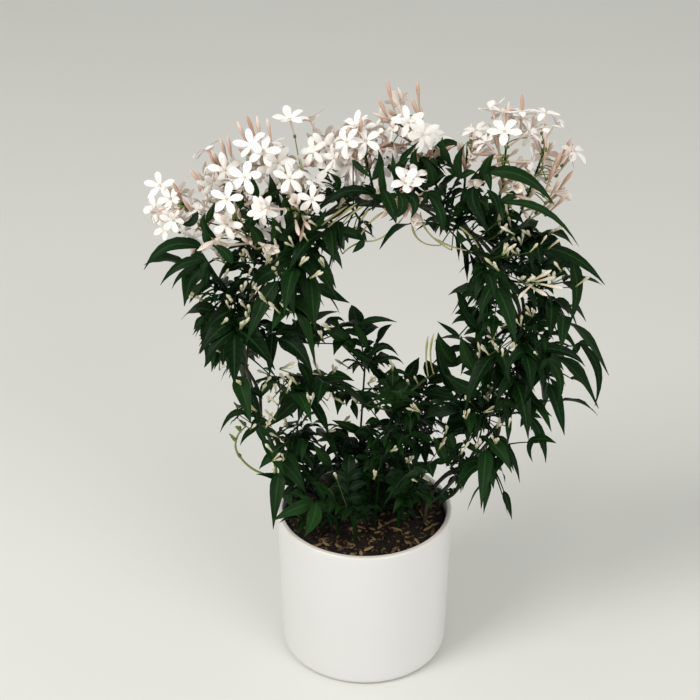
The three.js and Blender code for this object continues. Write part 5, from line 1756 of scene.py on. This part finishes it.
def find_bloom(spray, is_flower):
    """A flower or bud that has found its room round a spray's head, or None."""
    for _ in range(AIMS):
        base = spray.line(chance.uniform(0.6, 1.02))
        number, twist = chance.uniform(0, DIRECTIONS - 1), chance.uniform(0, 6.3)
        direction = cap_direction(spray.axis, number, WIDEST, twist)
        length = chance.uniform(13, 25) if is_flower else chance.uniform(14, 27)
        bloom = new_bloom(is_flower, base, direction, length, chance.uniform(0, 6.3), chance.uniform(0.8, 1))
        points, radii = bloom_points(bloom)
        if in_window(points) or in_hole(points).any():
            continue
        if over_heads(bloom.end, FLOWER_SPARE if is_flower else BUD_SPARE):
            continue
        if is_flower and under_heads(bloom.end):
            continue
        piece = f"more {len(spray.more)}"
        if not room.crowds(points, radii * SQUEEZED, spray.name, piece, slack=FULLER):
            room.occupy(points, radii, spray.name, piece)
            return bloom
    return None


for spray, (flowers, buds) in zip(sprays, MORE_BLOOMS):
    spray.more = []
    for is_flower in [True] * flowers + [False] * buds:
        bloom = find_bloom(spray, is_flower)
        if bloom:
            spray.more.append(bloom)
print("more flowers:", sum(b.is_flower for s in sprays for b in s.more))
print("more buds:", sum(not b.is_flower for s in sprays for b in s.more))

# %% Stand buds and flowers over and before the heads
# Each as its spray's number and its tip as (across, back, height).
STANDING_BUDS = [
    (4, (-91, 2, 454)), (4, (-84, 0, 459)), (4, (-77, 2, 458)), (4, (-70, 2, 456)), (2, (-104, 6, 440)),
    (2, (-112, 4, 432)), (3, (-98, 0, 444)), (1, (-138, -4, 410)), (3, (-126, -2, 420)),
    (1, (-131, -10, 400)), (8, (14, 11, 481)), (8, (35, 10, 481)), (8, (8, 6, 470)), (8, (31, 2, 472)),
    (8, (38, 8, 464)), (8, (22, 16, 474)), (11, (108, 4, 474)), (10, (75, 16, 447)), (12, (151, 14, 428)),
    (12, (148, 4, 416)), (12, (143, 2, 404)), (12, (138, 0, 394)), (12, (146, 10, 438)), (7, (-8, -4, 460)),
    (7, (-13, -24, 460)), (7, (-11, -26, 450)), (7, (-12, -28, 440)), (7, (-4, -22, 465)),
    (7, (-7, -30, 433)), (12, (137, -8, 435)), (12, (143, -6, 438)), (12, (133, -10, 426)),
    (12, (137, -12, 417)), (12, (141, -14, 404)), (12, (127, -6, 444)), (8, (2, -10, 444)),
    (8, (46, -6, 444)), (8, (40, -12, 436)),
]  # fmt: skip
STANDING_FLOWERS = [
    (11, (89, 8, 459)), (11, (99, 10, 453)), (11, (108, 0, 462)), (11, (118, 12, 455)), (12, (125, 2, 460)),
    (12, (134, 6, 450)), (10, (78, 10, 444)), (12, (148, 6, 430)), (1, (-148, 4, 404)), (1, (-152, 2, 388)),
    (1, (-140, -2, 396)), (1, (-134, -4, 380)), (2, (-116, 4, 408)), (5, (-54, 6, 454)),
    (1, (-144, -6, 376)), (2, (-96, -50, 417)), (2, (-97, -50, 398)), (3, (-72, -54, 411)),
    (4, (-53, -46, 431)), (5, (-38, -48, 416)), (3, (-84, -40, 429)), (7, (-3, -10, 453)),
    (8, (6, -12, 450)), (8, (18, -10, 454)), (8, (31, -10, 453)), (8, (40, -10, 446)), (7, (-15, -12, 438)),
    (11, (94, -6, 464)), (12, (124, -6, 452)),
]  # fmt: skip
STANDING_TUBE = 17
RIGHT_HEAD = 10  # the first spray of the right head, whose flowers face up more
for number, tip in STANDING_BUDS:
    spray, tip = sprays[number - 1], vector(*tip)
    direction = unit(unit(tip - spray.line(0.6)) + 0.35 * UP + vector(*chance.normal(0, 0.08, 3)))
    length = chance.uniform(24, 31)
    spray.more.append(new_bloom(False, tip - direction * length, direction, length, 0, 0.95))
for number, tip in STANDING_FLOWERS:
    spray, tip = sprays[number - 1], vector(*tip)
    faces = vector(0, -0.7, 0.1) if number < RIGHT_HEAD else vector(0, -0.1, 0.4)
    direction = unit(unit(tip - spray.line(0.6)) + vector(*chance.normal(0, 0.4, 3)) + faces)
    spin, size = chance.uniform(0, 6.3), chance.uniform(0.82, 0.98)
    base = tip - direction * STANDING_TUBE
    spray.more.append(new_bloom(True, base, direction, STANDING_TUBE, spin, size))
print("standing buds and flowers:", len(STANDING_BUDS) + len(STANDING_FLOWERS))

# %% Dress every spray
IN_BUD = "spray_13"  # this one hasn't opened yet
HALF_OPEN = 0.6  # the share of the flowers below the heads that are only half open
for number, spray in enumerate(sprays):
    chance = np.random.default_rng(2000 + number)
    blooms, greens = Skins(), Skins()
    line, girth = points_on(spray.line, 16), np.linspace(1.1, 0.75, 16)
    greens.add(tube(line, girth, 7, spray.line.way), **PLAIN, tint=0.5)
    for k, bloom in enumerate(spray.blooms + spray.more):
        perch = nearest(points_on(spray.line, 9, 0.6), bloom.base)
        if np.linalg.norm(perch - bloom.base) > 1:
            add_stalk(greens, perch, bloom.direction, bloom.base + bloom.direction, 7, 0.42, 0.75)
        if bloom.is_flower:
            is_low = k < len(spray.blooms) and under_heads(bloom.end)
            is_young = spray.name == IN_BUD or (is_low and chance.random() < HALF_OPEN)
            cup = chance.uniform(1.1, 1.36) if is_young else clipped(chance.normal(0, 0.3))
            add_flower(blooms, greens, bloom, chance, cup, float(is_young))
        else:
            # The blush and the tint at the bud's foot, middle, belly and tip.
            ripe = chance.uniform(0, 1)
            pinks = [0.45, 0.85, 0.95 - 0.5 * ripe, 0.9 - 0.8 * ripe]
            yellows = [0.6, 0.3, 0.1, 0.1]
            if spray.name == IN_BUD:
                pinks, yellows = [0.2, 0.4, 0.3, 0.1], [0.8, 0.4, 0.3, 0.3]
            add_bud(blooms, greens, bloom, chance, pinks, yellows)
    blooms.piece(spray.name + "_blooms", PETAL, "jasmine_flower", [spray.name])
    greens.piece(spray.name + "_stalks", LEAF_GREEN, "jasmine_leaf", [spray.name])
print("dressed sprays:", len(sprays))

# %% [markdown]
# ## Young buds among the leaves
#
# Between the leaves sit the buds of the next weeks: slender, in ones to threes on a thin stalk, cream with
# green feet. They are small, but there are many, and they make the dark foliage sparkle. They seek the
# light, so a stalk grows from a stem or shoot out to where the foliage ends, as seen from the best side.

# %% Find where the foliage ends
EMPTY = 99.0  # stands for a cell with no foliage
front = np.full(covered.shape, EMPTY)
np.minimum.at(front, seen_cells(room.points), room.points[:, 1])
YOUNG_REACH = (6, 38)  # how long a cluster's stalk may be
APART = 9
OFF_POT = 20  # how far they keep from the pot and the soil
BUDS_REACH = 18  # how far a cluster's buds may reach from the end of its stalk
chance = np.random.default_rng(51)
young, green_feet = Skins(), Skins()


def add_cluster(start, tip, lean, count):
    """A stalk from a stem or shoot, with a fan of young buds at its end."""
    add_stalk(green_feet, start, unit(tip - start), tip, 6, 0.4, 0.6)
    for _ in range(count):
        direction = unit(lean + chance.normal(0, 0.15, 3))
        bud = new_bloom(False, tip, direction, chance.uniform(9, 17), 0, chance.uniform(0.6, 0.84))
        pinks = [0.05, chance.uniform(0, 0.55), chance.uniform(0, 0.3), 0.0]
        add_bud(young, green_feet, bud, chance, pinks, [0.9, *chance.uniform(0.35, 0.75, 3)])


print("foliage ends at depths from", round(front.min()), "to", round(front[front < EMPTY].max()), "mm")

# %% Scatter the young buds
# Some buds are long and bent like threads. Most arch over the ring's window and two stand at its foot. Each
# is given as its depth and the start, middle and tip of its line.
THREAD_BUDS = [
    (-26, (-42, 374), (-29, 389), (-14, 401)), (-30, (-34, 379), (-20, 394), (-7, 405)),
    (-28, (-19, 385), (-12, 395), (-2, 402)), (-26, (-10, 380), (-4, 390), (2, 400)),
    (-28, (-5, 378), (2, 389), (12, 398)), (-24, (-3, 374), (11, 376), (26, 392)),
    (-26, (-17, 364), (-9, 371), (1, 374)), (-22, (53, 369), (38, 373), (32, 388)),
    (-24, (61, 366), (44, 380), (38, 396)), (-24, (77, 365), (61, 369), (48, 376)),
    (-20, (47, 260), (45, 277), (46, 294)), (-22, (51, 263), (48, 280), (50, 297)),
    (-26, (80, 369), (74, 378), (65, 386)),
]  # fmt: skip
THREAD_RADII = [0, 0.5, 0.8, 1], [0.5, 0.6, 0.95, 0.3]
# Where the others are set: across and height seen, and how many clusters.
SPRINKLED = [
    ((-140, 165), (150, 420), 56), ((-112, -28), (296, 386), 30), ((92, 135), (345, 404), 22),
    ((-112, -58), (170, 262), 16), ((20, 110), (150, 260), 14), ((86, 106), (262, 290), 6),
]  # fmt: skip
SPRINKLES_EACH = 60  # for each cluster that is wanted
bud_places = []


def sprinkle(across, heights):
    """Let a cluster of buds grow before the foliage, if the place that is drawn is free."""
    x, seen = chance.uniform(*across), chance.uniform(*heights)
    cell = seen_cells(vector(x, 0, seen)[None])
    y = front[cell][0] + chance.uniform(-7, 1)
    tip = vector(x, y, seen - LOOK * y)
    if front[cell][0] == EMPTY or over_edge(tip[None])[0] or in_pot(tip[None], np.array([OFF_POT])):
        return
    perch = nearest(perches, tip)
    stalk = np.linalg.norm(perch - tip)
    lean = unit(vector(chance.normal(0, 0.5), -0.5, 0.9))
    if not YOUNG_REACH[0] < stalk < YOUNG_REACH[1] or in_hole((tip + lean * BUDS_REACH)[None])[0]:
        return
    if any(np.linalg.norm(tip - other) < APART for other in bud_places):
        return
    bud_places.append(tip)
    add_cluster(perch, tip, lean, int(chance.integers(1, 4)))


for across, heights, wanted in SPRINKLED:
    before = len(bud_places)
    for _ in range(SPRINKLES_EACH * wanted):
        sprinkle(across, heights)
        if len(bud_places) - before == wanted:
            break
print("young buds in clusters:", len(young.points))
for depth, *places in THREAD_BUDS:
    start, middle, tip = (vector(x, depth, z) for x, z in places)
    add_stalk(green_feet, nearest(perches, start), UP, start, 6)
    line = bent_blade(start, middle, tip, 1).line(np.linspace(0, DRIP_TIP, 12))
    young.add(tube(line, np.interp(np.linspace(0, 1, 12), *THREAD_RADII), 7), tint=0.85, blush=0.35)
young.piece("young_buds", PETAL, "jasmine_flower")
green_feet.piece("young_buds_feet", LEAF_GREEN, "jasmine_leaf")
print("clusters of young buds:", len(bud_places), "and thread-like buds:", len(THREAD_BUDS))

# %% [markdown]
# A shoot that has found nothing to climb hangs free: a pale thread with tiny new leaves. One does so at
# the left foot of the ring.

# %% Let a tendril hang
TENDRIL = [(-70, 168), (-84, 172), (-94, 181), (-100, 193), (-98, 205), (-92, 213)]
TENDRIL_DEPTH = -16
TENDRIL_LEAVES = (0.55, 0.75, 0.9, 1)  # where its pairs of leaves sit along it
hang = [vector(x, TENDRIL_DEPTH, z) for x, z in TENDRIL]
hang = [nearest(perches, hang[0]), *hang]
thread = points_on(lambda t: through(hang, t), 30)
tendril = Skins()
tendril.add(tube(thread, np.linspace(1.1, 0.7, 30), 6), **PLAIN, tint=0.85)
for t in TENDRIL_LEAVES:
    base = through(hang, t)
    for sign in (-1, 1):
        way = unit(vector(-0.5 + 0.4 * sign, -0.5 * sign, 0.7)) * chance.uniform(6, 9)
        leaflet = bent_blade(base, base + way * 0.55 + UP, base + way, 3)
        add_leaflet(tendril, leaflet, 0.35, chance, 0.8)
tendril.piece("tendril", LEAF_GREEN, "jasmine_leaf")
print("tendril points:", len(thread))

# %% Note the dressed model's box beside the solids' box, and finish
size = {"cad": CAD_BOX, "visual": [list(corner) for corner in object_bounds()]}
print("visual box:", size["visual"])
